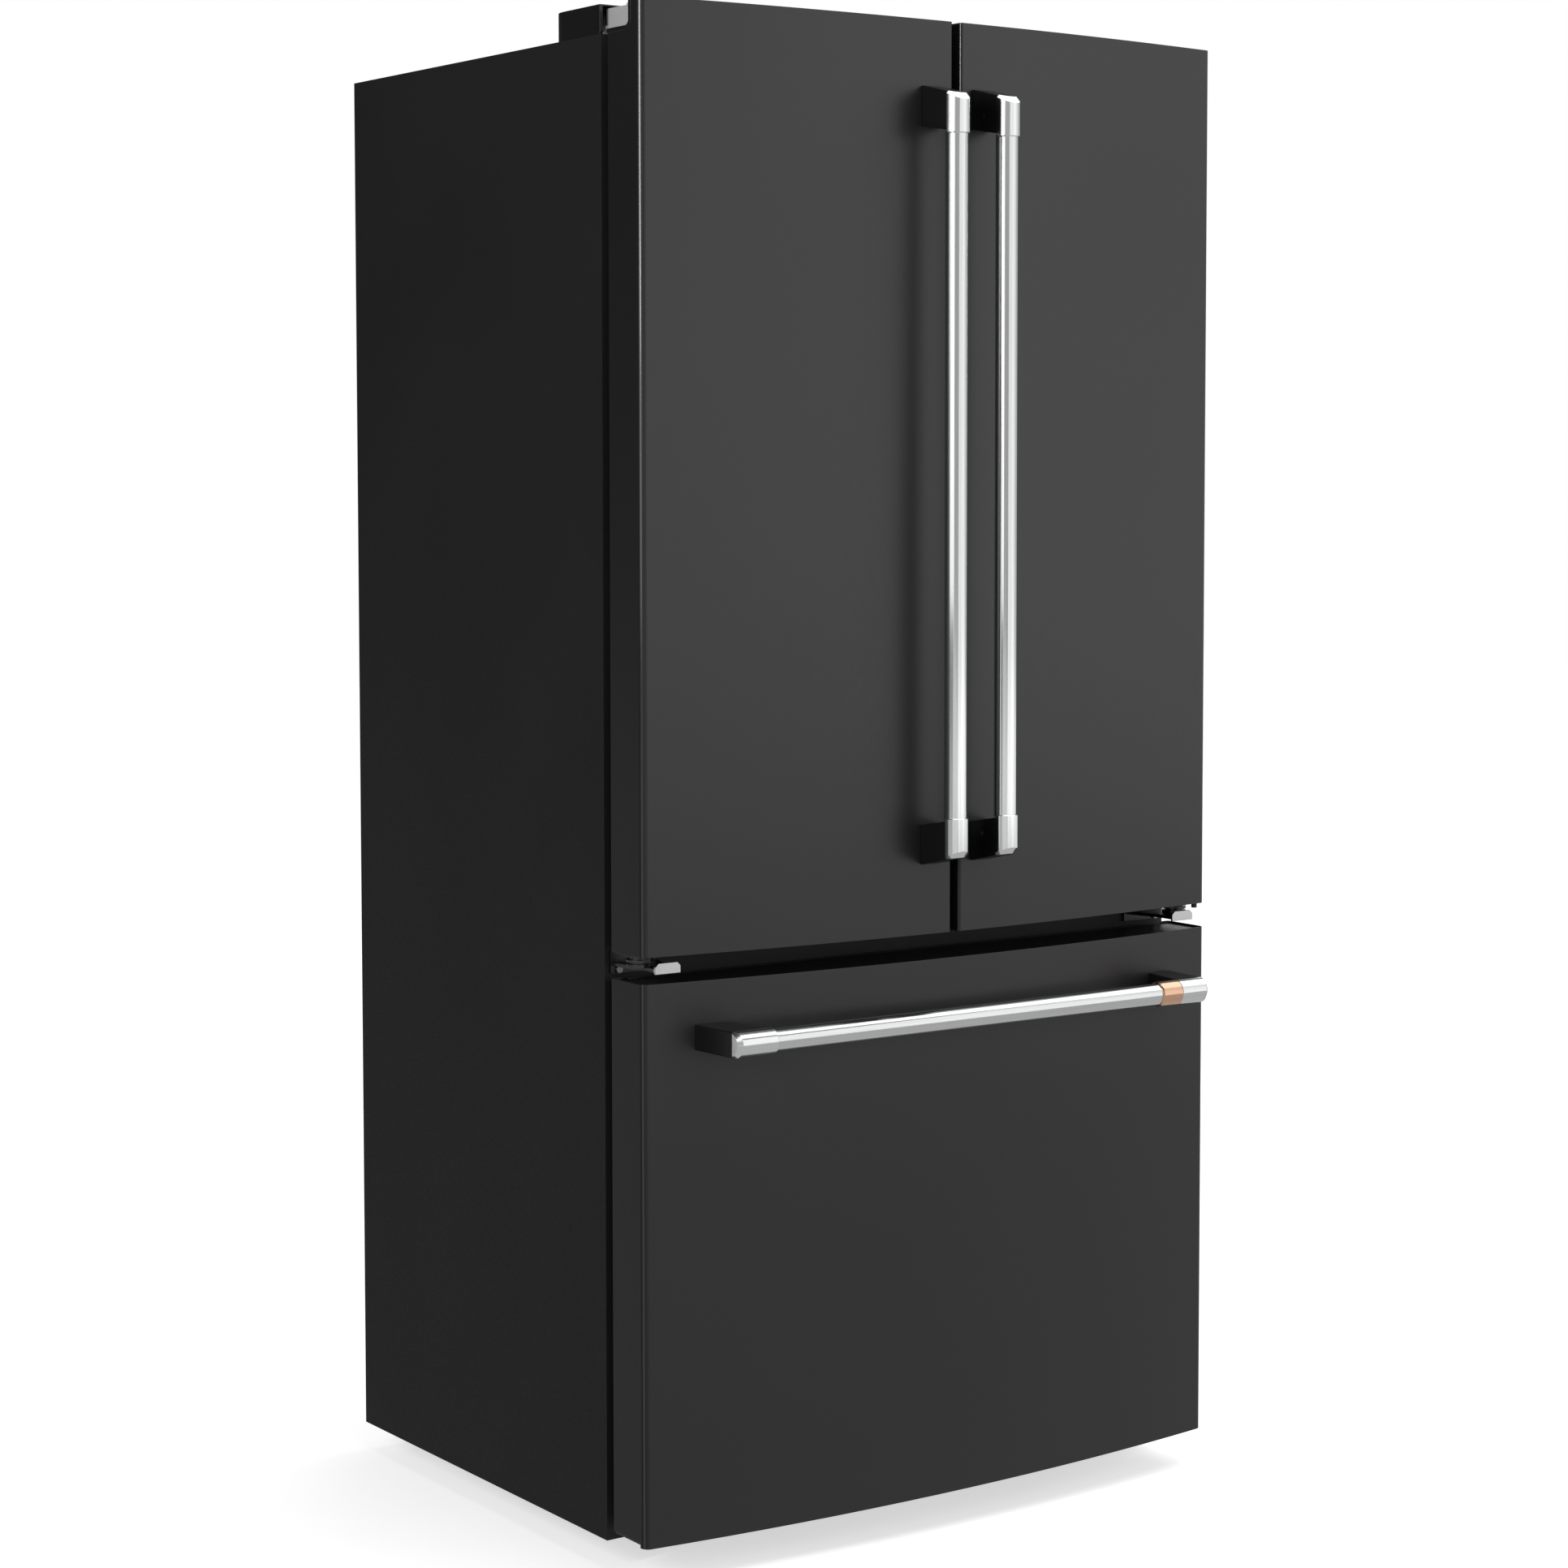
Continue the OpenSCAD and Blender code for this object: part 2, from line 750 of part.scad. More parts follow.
// Block under the roof whose slot turns the flap as the left door closes
module mullion_guide() {
    high = fresh_high - liner_t;
    p = flap_pivot;
    slot = 5;
    color("#e4e6e7") placed() difference() {
        block([-45, 3, high - 12], [35, 70, high]);
        translate([0, 0, high - 13]) linear_extrude(11) {
            translate(p) difference() {
                circle(r = guide_arc + slot);
                circle(r = guide_arc - slot);
                translate([-80, -80]) square([160, 80]);
                translate([-80, -80]) square([80, 160]);
            }
            translate([p[0] + guide_arc, p[1]]) circle(r = slot);
            translate([p[0], p[1] + guide_arc]) circle(r = slot);
            // Way out to the front, which follows the door's swing
            polygon([[p[0] - slot, p[1] + guide_arc], [p[0] + slot, p[1] + guide_arc],
                [p[0] + slot + 10, 0], [p[0] - slot + 6, 0]]);
        }
    }
}

// ---- moving pieces in and under the cabinet ----

module rear_rollers() {
    color("#202122") placed() both_sides() translate([0, roller_y, roller_r]) difference() {
        tube_x(roller_r, roller_x - 12, roller_x + 12);
        tube_x(4 + running, roller_x - 13, roller_x + 13);
    }
}

module leg() {
    translate([leg_x, leg_y, 0]) {
        cylinder(h = 6, r = 17);
        translate([0, 0, 5]) cylinder(h = 9, r = 9, $fn = 6);
        translate([0, 0, 5]) cylinder(h = case_bottom - 6, r = 5);
    }
}

module left_leg() {
    color("#5a5d61") placed() left_side() leg();
}

module right_leg() {
    color("#5a5d61") placed() leg();
}

// Drawer with an open top, a front with a finger rail and a window for the humidity slider
module crisper() {
    x0 = crisper_x[0];
    x1 = crisper_x[1];
    y0 = crisper_y[0];
    y1 = crisper_y[1];
    low = crisper_low;
    high = crisper_low + crisper_h;
    slot_x = (x0 + x1) / 2;
    difference() {
        union() {
            block([x0, y0, low], [x1, y1, high]);
            block([x0 + 20, y0 - 8, high - 66], [x1 - 20, y0 + 1, high - 44]);
        }
        block([x0 + 3, y0 + 4, low + 3], [x1 - 3, y1 - 3, high + 1]);
        // Back of the finger rail
        block([x0 + 22, y0 - 6, high - 67], [x1 - 22, y0, high - 50]);
        // Window of the humidity slider
        block([slot_x - 40, y0 - 1, high - 22], [slot_x + 40, y0 + 5, high - 12]);
    }
}

module left_crisper() {
    color("#dfe7ea") placed() left_side() crisper();
}

module right_crisper() {
    color("#dfe7ea") placed() crisper();
}

// Knob at the inner end of its window, with a foot behind the crisper's front
module humidity_slider() {
    x = (crisper_x[0] + crisper_x[1]) / 2 - 28;
    y = crisper_y[0];
    z = crisper_low + crisper_h - 17;
    block([x - 10, y - 3, z - 7], [x + 10, y - 0.2, z + 7]);
    block([x - 9, y - 1, z - 4.7], [x + 9, y + 5, z + 4.7]);
    block([x - 11, y + 4.2, z - 7], [x + 11, y + 6.5, z + 7]);
}

module left_humidity_slider() {
    color("#9fb4c0") placed() left_side() humidity_slider();
}

module right_humidity_slider() {
    color("#9fb4c0") placed() humidity_slider();
}

// Folding seal bar on the left door, drawn folded against the door's panel
module mullion_flap() {
    p = flap_pivot;
    color("#d3d6d8") placed() difference() {
        union() {
            block([p[0] - 9, p[1] - 5, flap_low], [p[0] + 9, p[1] + 55, flap_high]);
            translate([p[0], p[1] + guide_arc, flap_high - 1])
                cylinder(h = fresh_high - liner_t - 4 - flap_high, r = 3.5);
        }
        for (z = [flap_low - 1, flap_high - 20]) {
            translate([p[0], p[1], z]) cylinder(h = 21, r = 3 + running);
        }
    }
}

// ---- doors, drawn on the right side ----

module door_skin() {
    difference() {
        upright(door_bottom, door_top) difference() {
            door_plan();
            door_plan(skin_t);
            translate([door_edge + skin_return, -gasket_gap - 2 * skin_t])
                square([half - door_edge - 2 * skin_return, 4 * skin_t]);
        }
        hinge_recess();
    }
}

module door_inner_panel() {
    low = door_bottom + cap_h;
    high = door_top - cap_h;
    difference() {
        union() {
            upright(low, high) door_core_plan();
            block([dyke_in, -gasket_gap - 1, dyke_low], [dyke_out, dyke_y, dyke_high]);
        }
        block([dyke_in + dyke_t, pocket_y, dyke_low + dyke_t],
            [dyke_out - dyke_t, dyke_y + 1, dyke_high - dyke_t]);
        translate([pin_x, pin_y, high - 30]) cylinder(h = 31, r = knuckle_r + 0.2);
    }
    // Rests of the bins
    for (z = bin_z, x = [dyke_in + dyke_t - 1, dyke_out - dyke_t - 9]) {
        block([x, pocket_y + 10, z - 9], [x + 10, dyke_y - 12, z]);
    }
}

// Lugs and pins that carry the flap, on the free edge of the left door's panel
module flap_lugs() {
    p = flap_pivot;
    for (z = [flap_low - 12, flap_high + 0.5]) {
        block([-dyke_in - 1, p[1] - 7, z], [p[0] + 6, p[1] + 7, z + 11.5]);
    }
    for (z = [flap_low - 1, flap_high - 17]) {
        translate([p[0], p[1], z]) cylinder(h = 18, r = 3);
    }
}

module door_gasket() {
    difference() {
        block([gasket_in, -gasket_gap, fresh_low - gasket_w], [gasket_out, -1, fresh_high + 22]);
        block([gasket_in + gasket_w, -gasket_gap - 1, fresh_low],
            [gasket_out - gasket_w, 0, fresh_high + 2]);
    }
}

module door_end_caps() {
    top_low = door_top - cap_h;
    difference() {
        union() {
            upright(top_low, door_top - cap_recess) door_core_plan();
            // Bush under the recess
            translate([pin_x, pin_y, top_low - 28]) cylinder(h = 32, r = knuckle_r);
        }
        hinge_recess();
        translate([pin_x, pin_y, top_low - 25]) cylinder(h = 60, r = pin_r + running);
    }
    difference() {
        union() {
            upright(door_bottom + cap_recess, door_bottom + cap_h) door_core_plan();
            // Bearing face over the washers of the middle hinge
            translate([pin_x, pin_y, door_bottom - 1.4]) cylinder(h = 6, r = 14);
            // Stop lug
            translate([half - 11, -74, door_bottom - 6]) cylinder(h = 10, r = 3.5);
        }
        translate([pin_x, pin_y, door_bottom - 3]) cylinder(h = 27, r = pin_r + running);
    }
}

module door_bins() {
    x0 = dyke_in + dyke_t + 1;
    x1 = dyke_out - dyke_t - 1;
    for (k = [0 : len(bin_z) - 1]) {
        difference() {
            upright(bin_z[k], bin_z[k] + bin_h[k]) tray_plan(x0, x1, pocket_y + 0.5, bin_depth, 18, 0);
            upright(bin_z[k] + bin_t, bin_z[k] + bin_h[k] + 1)
                tray_plan(x0, x1, pocket_y + 0.5, bin_depth, 18, bin_t);
        }
    }
}

// Handle along +Z from the origin, with the door towards +Y.
// Its end face is slanted like the post's, and chamfered most at the front.
module end_piece(len, flare) {
    difference() {
        intersection() {
            union() {
                cylinder(h = len - 1, r = end_d / 2);
                translate([0, 0, len - 1]) cylinder(h = 1, r1 = end_d / 2, r2 = end_d / 2 - 1);
            }
            rotate([-atan(flare / post_reach), 0, 0]) translate([0, 2, 0]) {
                cylinder(h = 9, r1 = end_d / 2 - 2.5, r2 = end_d / 2 + 6.5);
                translate([0, 0, 9]) cylinder(h = len + 20, r = end_d * 2);
            }
        }
        block([-end_d, end_back, -10], [end_d, end_d, len + 1]);
        translate([0, 0, len - 3]) cylinder(h = 4, r = bar_d / 2 + running);
    }
}

// Black post behind an end piece; it flares towards both sides as it nears the front
module end_post(len, flare) {
    translate([-post_w / 2, 0, 0]) rotate([90, 0, 90]) linear_extrude(post_w)
        polygon([[end_back, 0], [end_back, len - 3.5], [post_reach, len - 16], [post_reach, -flare]]);
}

module at_door_handle() {
    translate([handle_x, -handle_reach, door_handle_low]) children();
}

module handle_ends() {
    at_door_handle() {
        end_piece(48, door_post_flare);
        translate([0, 0, door_handle_len]) mirror([0, 0, 1]) end_piece(48, door_post_flare);
    }
}

module handle_posts() {
    difference() {
        at_door_handle() {
            end_post(48, door_post_flare);
            translate([0, 0, door_handle_len]) mirror([0, 0, 1]) end_post(48, door_post_flare);
        }
        bow_cylinder(door_handle_low - 50, door_handle_low + door_handle_len + 50);
    }
}

module handle_bar() {
    at_door_handle() translate([0, 0, 45]) cylinder(h = door_handle_len - 90, r = bar_d / 2);
}

module left_door_skin() {
    color("#3a3b3d") placed() left_side() door_skin();
}

module right_door_skin() {
    color("#3a3b3d") placed() door_skin();
}

module left_door_inner_panel() {
    color("#eef0f0") placed() {
        left_side() door_inner_panel();
        flap_lugs();
    }
}

module right_door_inner_panel() {
    color("#eef0f0") placed() door_inner_panel();
}

module left_door_gasket() {
    color("#4a4b4d") placed() left_side() door_gasket();
}

module right_door_gasket() {
    color("#4a4b4d") placed() door_gasket();
}

module left_door_end_caps() {
    color("#17181a") placed() left_side() door_end_caps();
}

module right_door_end_caps() {
    color("#17181a") placed() door_end_caps();
}

module left_door_bins() {
    color("#dfe7ea") placed() left_side() door_bins();
}

module right_door_bins() {
    color("#dfe7ea") placed() door_bins();
}

module left_handle_bar() {
    color("#c9cbcd") placed() left_side() handle_bar();
}

module right_handle_bar() {
    color("#c9cbcd") placed() handle_bar();
}

module left_handle_ends() {
    color("#d6d7d8") placed() left_side() handle_ends();
}

module right_handle_ends() {
    color("#d6d7d8") placed() handle_ends();
}

module left_handle_posts() {
    color("#111112") placed() left_side() handle_posts();
}

module right_handle_posts() {
    color("#111112") placed() handle_posts();
}

// ---- freezer drawer ----

module drawer_skin() {
    color("#3a3b3d") placed() difference() {
        upright(drawer_bottom, drawer_top) difference() {
            drawer_plan();
            drawer_plan(skin_t);
            translate([skin_return - half, -gasket_gap - 2 * skin_t])
                square([2 * (half - skin_return), 4 * skin_t]);
        }
        // The sides end a little above the front's lower edge
        block([-half - 1, 10 - corner_depth, drawer_bottom - 1], [half + 1, 0, drawer_bottom + 5.5]);
    }
}

module drawer_inner_panel() {
    color("#eef0f0") placed() {
        upright(drawer_bottom + cap_h, drawer_top - cap_h) drawer_core_plan();
        block([18 - liner_x, -gasket_gap - 1, freezer_low + 12],
            [liner_x - 18, 6, freezer_high - 16]);
    }
}

module drawer_gasket() {
    color("#4a4b4d") placed() difference() {
        block([-gasket_out, -gasket_gap, freezer_low - gasket_w],
            [gasket_out, -1, freezer_high + gasket_w]);
        block([gasket_w - gasket_out, -gasket_gap - 1, freezer_low],
            [gasket_out - gasket_w, 0, freezer_high]);
    }
}

module drawer_end_caps() {
    color("#17181a") placed() {
        upright(drawer_top - cap_h, drawer_top - cap_recess) drawer_core_plan();
        upright(drawer_bottom + cap_recess, drawer_bottom + cap_h) drawer_core_plan();
        // Rail under the lower cap, between the skin's sides
        block([12 - half, 12 - corner_depth, drawer_bottom - 1], [half - 12, -18, drawer_bottom + 4]);
    }
}

// Drawer handle: its axis runs along +X
module at_drawer_handle() {
    translate([drawer_handle_x, -handle_reach, drawer_handle_z]) rotate([0, 90, 0]) children();
}

module drawer_handle_bar() {
    color("#c9cbcd") placed() at_drawer_handle() translate([0, 0, drawer_end_left - 3])
        cylinder(h = drawer_handle_len - drawer_end_left - drawer_end_right + 6, r = bar_d / 2);
}

module drawer_handle_ends() {
    color("#d6d7d8") placed() at_drawer_handle() {
        end_piece(drawer_end_left, drawer_post_flare);
        translate([0, 0, drawer_handle_len]) mirror([0, 0, 1])
            end_piece(drawer_end_right, drawer_post_flare);
    }
}

module drawer_handle_posts() {
    color("#111112") placed() difference() {
        at_drawer_handle() {
            end_post(drawer_end_left, drawer_post_flare);
            translate([0, 0, drawer_handle_len]) mirror([0, 0, 1])
                end_post(drawer_end_right, drawer_post_flare);
        }
        bow_cylinder(drawer_handle_z - 50, drawer_handle_z + 50);
    }
}

module drawer_handle_band() {
    color("#c98f6f") placed() at_drawer_handle()
        translate([0, 0, drawer_handle_len - drawer_end_right - band_len]) difference() {
            union() {
                cylinder(h = 2, r1 = end_d / 2 - 1.5, r2 = end_d / 2);
                translate([0, 0, 2]) cylinder(h = band_len - 2, r = end_d / 2);
            }
            translate([0, 0, -1]) cylinder(h = band_len + 2, r = bar_d / 2 + running);
        }
}

// Basket with slotted sides and a rim that rests on the drawer's rails
module basket(x, y0, y1, low, high, rim_low, rim_high) {
    difference() {
        union() {
            block([-x, y0, low], [x, y1, high]);
            block([1 - plate_x, y0, rim_low], [plate_x - 1, y1, rim_high]);
        }
        block([3 - x, y0 + 3, low + 3], [x - 3, y1 - 3, high + 1]);
        // Slots in the front and the back
        for (sx = [-x + 30 : 40 : x - 50]) {
            block([sx, y0 - 1, low + 25], [sx + 22, y1 + 1, high - 25]);
        }
    }
}

module lower_basket() {
    color("#d9dcde") placed() basket(plate_x - 9, 22, step_y - 17, 110, basket_ledge_low + 10,
        basket_ledge_low, basket_ledge_low + 4);
}

module upper_basket() {
    color("#d9dcde") placed() basket(plate_x - 12, 15, 265, basket_ledge_high + 0.3,
        basket_ledge_high + 140, basket_ledge_high + 0.3, basket_ledge_high + 4);
}

module fixed_rails() {
    color("#b4b7ba") placed() both_sides() channel(room_x, 10, 1.5, rail_z, rail_z + rail_h, 8, rail_back);
}

module slide_members() {
    color("#c2c5c8") placed() both_sides()
        channel(room_x - 4, 8, 1.5, rail_z + 3.5, rail_z + rail_h - 3.5, 10, rail_back);
}

// Channel open towards the middle, with its web at x
module channel(x, deep, t, low, high, y0, y1) {
    difference() {
        block([x - deep, y0, low], [x, y1, high]);
        block([x - deep - 1, y0 - 1, low + t], [x - t, y1 + 1, high - t]);
    }
}

module drawer_rails() {
    web = room_x - 8;
    mid = rail_z + rail_h / 2;
    y1 = rail_back - 5;
    color("#c2c5c8") placed() both_sides() {
        // Rail inside the middle member, joined to the plate that carries the baskets
        block([web - 1.5, 6, mid - 12], [web, y1, mid + 12]);
        block([plate_x, 6, mid - 1], [web - 1, y1, mid + 1]);
        block([plate_x, 6, mid - 1], [plate_x + 1.5, y1, basket_ledge_high]);
        // Ledges of the lower and the upper basket
        block([plate_x - 7, 20, basket_ledge_low - 2], [plate_x + 1, y1, basket_ledge_low]);
        block([plate_x - 10, 12, basket_ledge_high - 2], [plate_x + 1, y1, basket_ledge_high]);
        // Bracket on the drawer's panel
        block([plate_x - 40, 6, mid - 40], [plate_x + 1.5, 9, basket_ledge_high]);
    }
}

outer_case();
foam_insulation();
fresh_food_liner();
freezer_liner();
back_panel();
compressor_cover();
base_frame();
compressor();
condenser_coil();
condenser_fan_shroud();
condenser_fan_blade();
evaporator_coil();
evaporator_cover();
evaporator_fan_blade();
air_tower();
control_panel();
shelf_frames();
shelf_panes();
top_hinges();
hinge_covers();
mid_hinges();
hinge_screws();
mullion_guide();
fixed_rails();
slide_members();
upper_basket();
rear_rollers();
left_leg();
right_leg();
left_crisper();
right_crisper();
left_humidity_slider();
right_humidity_slider();
mullion_flap();
left_door_skin();
left_door_inner_panel();
left_door_gasket();
left_door_end_caps();
left_door_bins();
left_handle_bar();
left_handle_ends();
left_handle_posts();
right_door_skin();
right_door_inner_panel();
right_door_gasket();
right_door_end_caps();
right_door_bins();
right_handle_bar();
right_handle_ends();
right_handle_posts();
drawer_skin();
drawer_inner_panel();
drawer_gasket();
drawer_end_caps();
drawer_handle_bar();
drawer_handle_ends();
drawer_handle_posts();
drawer_handle_band();
lower_basket();
drawer_rails();
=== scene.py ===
import json
import math

import bmesh
import bpy
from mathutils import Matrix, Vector


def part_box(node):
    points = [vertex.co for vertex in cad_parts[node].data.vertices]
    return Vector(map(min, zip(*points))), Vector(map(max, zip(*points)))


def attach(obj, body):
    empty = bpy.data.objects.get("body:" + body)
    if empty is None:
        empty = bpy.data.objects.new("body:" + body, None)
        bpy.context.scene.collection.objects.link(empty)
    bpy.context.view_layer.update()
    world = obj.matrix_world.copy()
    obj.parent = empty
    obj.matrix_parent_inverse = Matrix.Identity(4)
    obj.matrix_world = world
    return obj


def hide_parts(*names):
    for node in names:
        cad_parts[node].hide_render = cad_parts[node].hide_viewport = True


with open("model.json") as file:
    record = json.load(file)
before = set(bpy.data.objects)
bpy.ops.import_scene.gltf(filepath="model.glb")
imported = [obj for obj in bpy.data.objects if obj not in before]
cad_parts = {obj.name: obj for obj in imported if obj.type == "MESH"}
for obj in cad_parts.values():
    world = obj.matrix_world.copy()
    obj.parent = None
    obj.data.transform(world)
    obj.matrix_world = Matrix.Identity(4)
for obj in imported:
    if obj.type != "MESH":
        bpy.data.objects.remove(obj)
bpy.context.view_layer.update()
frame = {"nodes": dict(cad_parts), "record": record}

NODES = frame["nodes"]
OPENINGS = {o["name"]: o["box_m"] for o in frame["record"]["physics"]["openings"]}
MM = 0.001
SIDES = (("left", -1), ("right", 1))

# Rounding of sharp edges.
SHARP_ANGLE = math.radians(35)
FLAT_ANGLE = math.radians(0.1)
WELD_REACH = 0.01 * MM
ROUND_SEGMENTS = 2

# Studio floor: diffuse reflectance, brightness in mirrors, and glow near the object and far from it.
FLOOR_BOUNCE = 0.10
FLOOR_IN_MIRRORS = 0.56
FLOOR_GLOW_RADIUS = 3.0
FLOOR_GLOW_NEAR = 0.60
FLOOR_GLOW_FAR = 1.0
FLOOR_HALF_SIZE = 14.0
FLOOR_STEPS = 8

# Grey that the surroundings add, and the point (x, y) that the upright softboxes stand round.
WORLD_AROUND = 0.07
BARS = (0.0, -0.38)


# ---- materials: procedural nodes round one Principled shader ----

class Finish:
    """A procedural material; the sockets are constants of its shader."""

    def __init__(self, name, **sockets):
        self.material = bpy.data.materials.new(name)
        self.material.use_nodes = True
        self.tree = self.material.node_tree
        self.tree.nodes.clear()
        output = self.node("ShaderNodeOutputMaterial")
        self.shader = self.node("ShaderNodeBsdfPrincipled")
        self.link(self.shader.outputs["BSDF"], output.inputs["Surface"])
        self.coordinates = self.node("ShaderNodeTexCoord").outputs["Object"]
        self.last_bump = None
        for socket, value in sockets.items():
            self.shader.inputs[socket.replace("_", " ")].default_value = value

    def node(self, kind):
        return self.tree.nodes.new(kind)

    def link(self, source, target):
        self.tree.links.new(source, target)

    def stretched(self, stretch=(1, 1, 1)):
        mapping = self.node("ShaderNodeMapping")
        mapping.inputs["Scale"].default_value = stretch
        self.link(self.coordinates, mapping.inputs["Vector"])
        return mapping.outputs["Vector"]

    def noise(self, scale, detail=3.0, stretch=(1, 1, 1)):
        texture = self.node("ShaderNodeTexNoise")
        texture.inputs["Scale"].default_value = scale
        texture.inputs["Detail"].default_value = detail
        self.link(self.stretched(stretch), texture.inputs["Vector"])
        return texture.outputs["Fac"]

    def cells(self, scale, feature="F1", output="Distance"):
        texture = self.node("ShaderNodeTexVoronoi")
        texture.feature = feature
        texture.inputs["Scale"].default_value = scale
        self.link(self.stretched(), texture.inputs["Vector"])
        return texture.outputs[output]

    def colour(self, texture, low, high, start=0.35, end=0.65):
        """The base colour runs from low to high over the texture's values."""
        ramp = self.node("ShaderNodeValToRGB")
        ramp.color_ramp.elements[0].position = start
        ramp.color_ramp.elements[1].position = end
        ramp.color_ramp.elements[0].color = (*low, 1)
        ramp.color_ramp.elements[1].color = (*high, 1)
        self.link(texture, ramp.inputs["Fac"])
        self.link(ramp.outputs["Color"], self.shader.inputs["Base Color"])
        return self

    def vary(self, socket, texture, low, high, start=0.35, end=0.65):
        """The socket's value runs from low to high over the texture's values."""
        spread = self.node("ShaderNodeMapRange")
        spread.inputs["From Min"].default_value = start
        spread.inputs["From Max"].default_value = end
        spread.inputs["To Min"].default_value = low
        spread.inputs["To Max"].default_value = high
        self.link(texture, spread.inputs["Value"])
        self.link(spread.outputs["Result"], self.shader.inputs[socket])
        return self

    def bump(self, texture, strength, depth):
        """Adds relief on top of the bumps given before."""
        bump = self.node("ShaderNodeBump")
        bump.inputs["Strength"].default_value = strength
        bump.inputs["Distance"].default_value = depth
        self.link(texture, bump.inputs["Height"])
        if self.last_bump is not None:
            self.link(self.last_bump, bump.inputs["Normal"])
        self.link(bump.outputs["Normal"], self.shader.inputs["Normal"])
        self.last_bump = bump.outputs["Normal"]
        return self


COAT_IOR = 2.3
COAT_EDGES = (0.76, 0.93)    # size of the normal's X or Z where the coat begins and ends
COAT_FULL = (0.82, 0.88)    # and where it is full


def polish_edges(f, amount, rough, front_level, side_level):
    """Glossy coat on rounded corners and edges; the flat sides shine less than the fronts."""
    f.shader.inputs["Coat IOR"].default_value = COAT_IOR
    f.shader.inputs["Coat Roughness"].default_value = rough
    parts = f.node("ShaderNodeSeparateXYZ")
    f.link(f.node("ShaderNodeTexCoord").outputs["Normal"], parts.inputs[0])
    coats = []
    for axis in ("X", "Z"):
        size = f.node("ShaderNodeMath")
        size.operation = "ABSOLUTE"
        f.link(parts.outputs[axis], size.inputs[0])
        if axis == "X":
            f.vary("Specular IOR Level", size.outputs[0], front_level, side_level, 0.3, 0.95)
        band = f.node("ShaderNodeValToRGB")
        stops = band.color_ramp.elements
        for stop, place in zip(stops, COAT_EDGES):
            stop.position = place
            stop.color = (0, 0, 0, 1)
        for place in COAT_FULL:
            stops.new(place).color = (*grey(amount), 1)
        f.link(size.outputs[0], band.inputs["Fac"])
        coats.append(band.outputs["Color"])
    widest = f.node("ShaderNodeMath")
    widest.operation = "MAXIMUM"
    f.link(coats[0], widest.inputs[0])
    f.link(coats[1], widest.inputs[1])
    f.link(widest.outputs[0], f.shader.inputs["Coat Weight"])
    return f


def grey(value, blue=1.0):
    return (value, value, value * blue)


def front_paint():
    """Matte black enamel of the doors and the drawer."""
    f = polish_edges(Finish("front_paint"), amount=0.38, rough=0.13, front_level=0.54, side_level=0.16)
    f.colour(f.noise(3, 2), grey(0.0130, 1.08), grey(0.0145, 1.08))
    f.vary("Roughness", f.noise(220, 3), 0.33, 0.38)
    f.bump(f.noise(1400, 2), 0.10, 0.04 * MM)
    return f.bump(f.noise(160, 2), 0.04, 0.1 * MM).material


def case_paint():
    """Pebbled dark enamel of the cabinet's sides."""
    f = polish_edges(Finish("case_paint"), amount=0.8, rough=0.2, front_level=0.3, side_level=0.08)
    f.colour(f.noise(5, 3), grey(0.0185, 1.07), grey(0.0205, 1.07))
    f.vary("Roughness", f.noise(300, 3), 0.46, 0.56)
    f.bump(f.cells(620, "SMOOTH_F1"), 0.22, 0.12 * MM)
    return f.bump(f.noise(1500, 2), 0.1, 0.05 * MM).material


def black_plastic(name, value, rough, grain=900, depth=0.08, level=0.4):
    """Grained dark plastic, rubber or baked enamel."""
    f = Finish(name, Specular_IOR_Level=level)
    f.colour(f.noise(12, 3), grey(value * 0.9), grey(value * 1.1))
    f.vary("Roughness", f.noise(grain / 3, 3), rough * 0.9, rough * 1.1)
    return f.bump(f.noise(grain, 3), 0.15, depth * MM).material


def brushed_metal(name, low, high, along, rough=(0.09, 0.15), streaks=900):
    """Metal brushed along one axis: the noise is drawn out that way."""
    stretch = tuple(0.012 if k == along else 1.0 for k in range(3))
    f = Finish(name, Metallic=1.0)
    f.colour(f.noise(streaks, 4, stretch), low, high, 0.3, 0.7)
    f.vary("Roughness", f.noise(streaks * 0.7, 4, stretch), *rough, 0.3, 0.7)
    return f.bump(f.noise(streaks * 1.6, 3, stretch), 0.05, 0.03 * MM).material


def zinc_plate(name, value, rough, cell=130, metal=1.0, spangle=0.14):
    """Zinc-plated or plain steel, with crystals that differ by the spangle."""
    f = Finish(name, Metallic=metal)
    f.colour(f.cells(cell, output="Color"), grey(value * (1 - spangle)), grey(value * (1 + spangle)),
             0.1, 0.9)
    f.vary("Roughness", f.noise(90, 4), rough * 0.8, rough * 1.2)
    return f.bump(f.noise(500, 4), 0.12, 0.06 * MM).material


def hinge_plate():
    """Steel coloured near-black everywhere behind its front tab, and bright on the tab itself."""
    f = Finish("mid_hinge_steel", Metallic=1.0)
    bright, dark = grey(0.62), grey(0.07)
    tab_depth, fade = 3.4 * MM, 1.5 * MM
    tab_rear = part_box("mid_hinges")[0].y + tab_depth
    place = f.node("ShaderNodeSeparateXYZ")
    f.link(f.coordinates, place.inputs[0])
    along = f.node("ShaderNodeMapRange")
    along.inputs["From Min"].default_value = tab_rear
    along.inputs["From Max"].default_value = tab_rear + fade
    f.link(place.outputs["Y"], along.inputs["Value"])
    f.colour(along.outputs["Result"], bright, dark, 0, 1)
    f.vary("Roughness", f.noise(90, 4), 0.26, 0.36)
    return f.bump(f.noise(500, 4), 0.12, 0.06 * MM).material


def moulded(name, low, high, rough, grain=700, bump=0.1):
    """Opaque moulded plastic with a faint mould texture."""
    f = Finish(name, Specular_IOR_Level=0.5)
    f.colour(f.noise(9, 3), low, high)
    f.vary("Roughness", f.noise(60, 3), rough * 0.85, rough * 1.15)
    return f.bump(f.noise(grain, 2), bump, 0.06 * MM).material


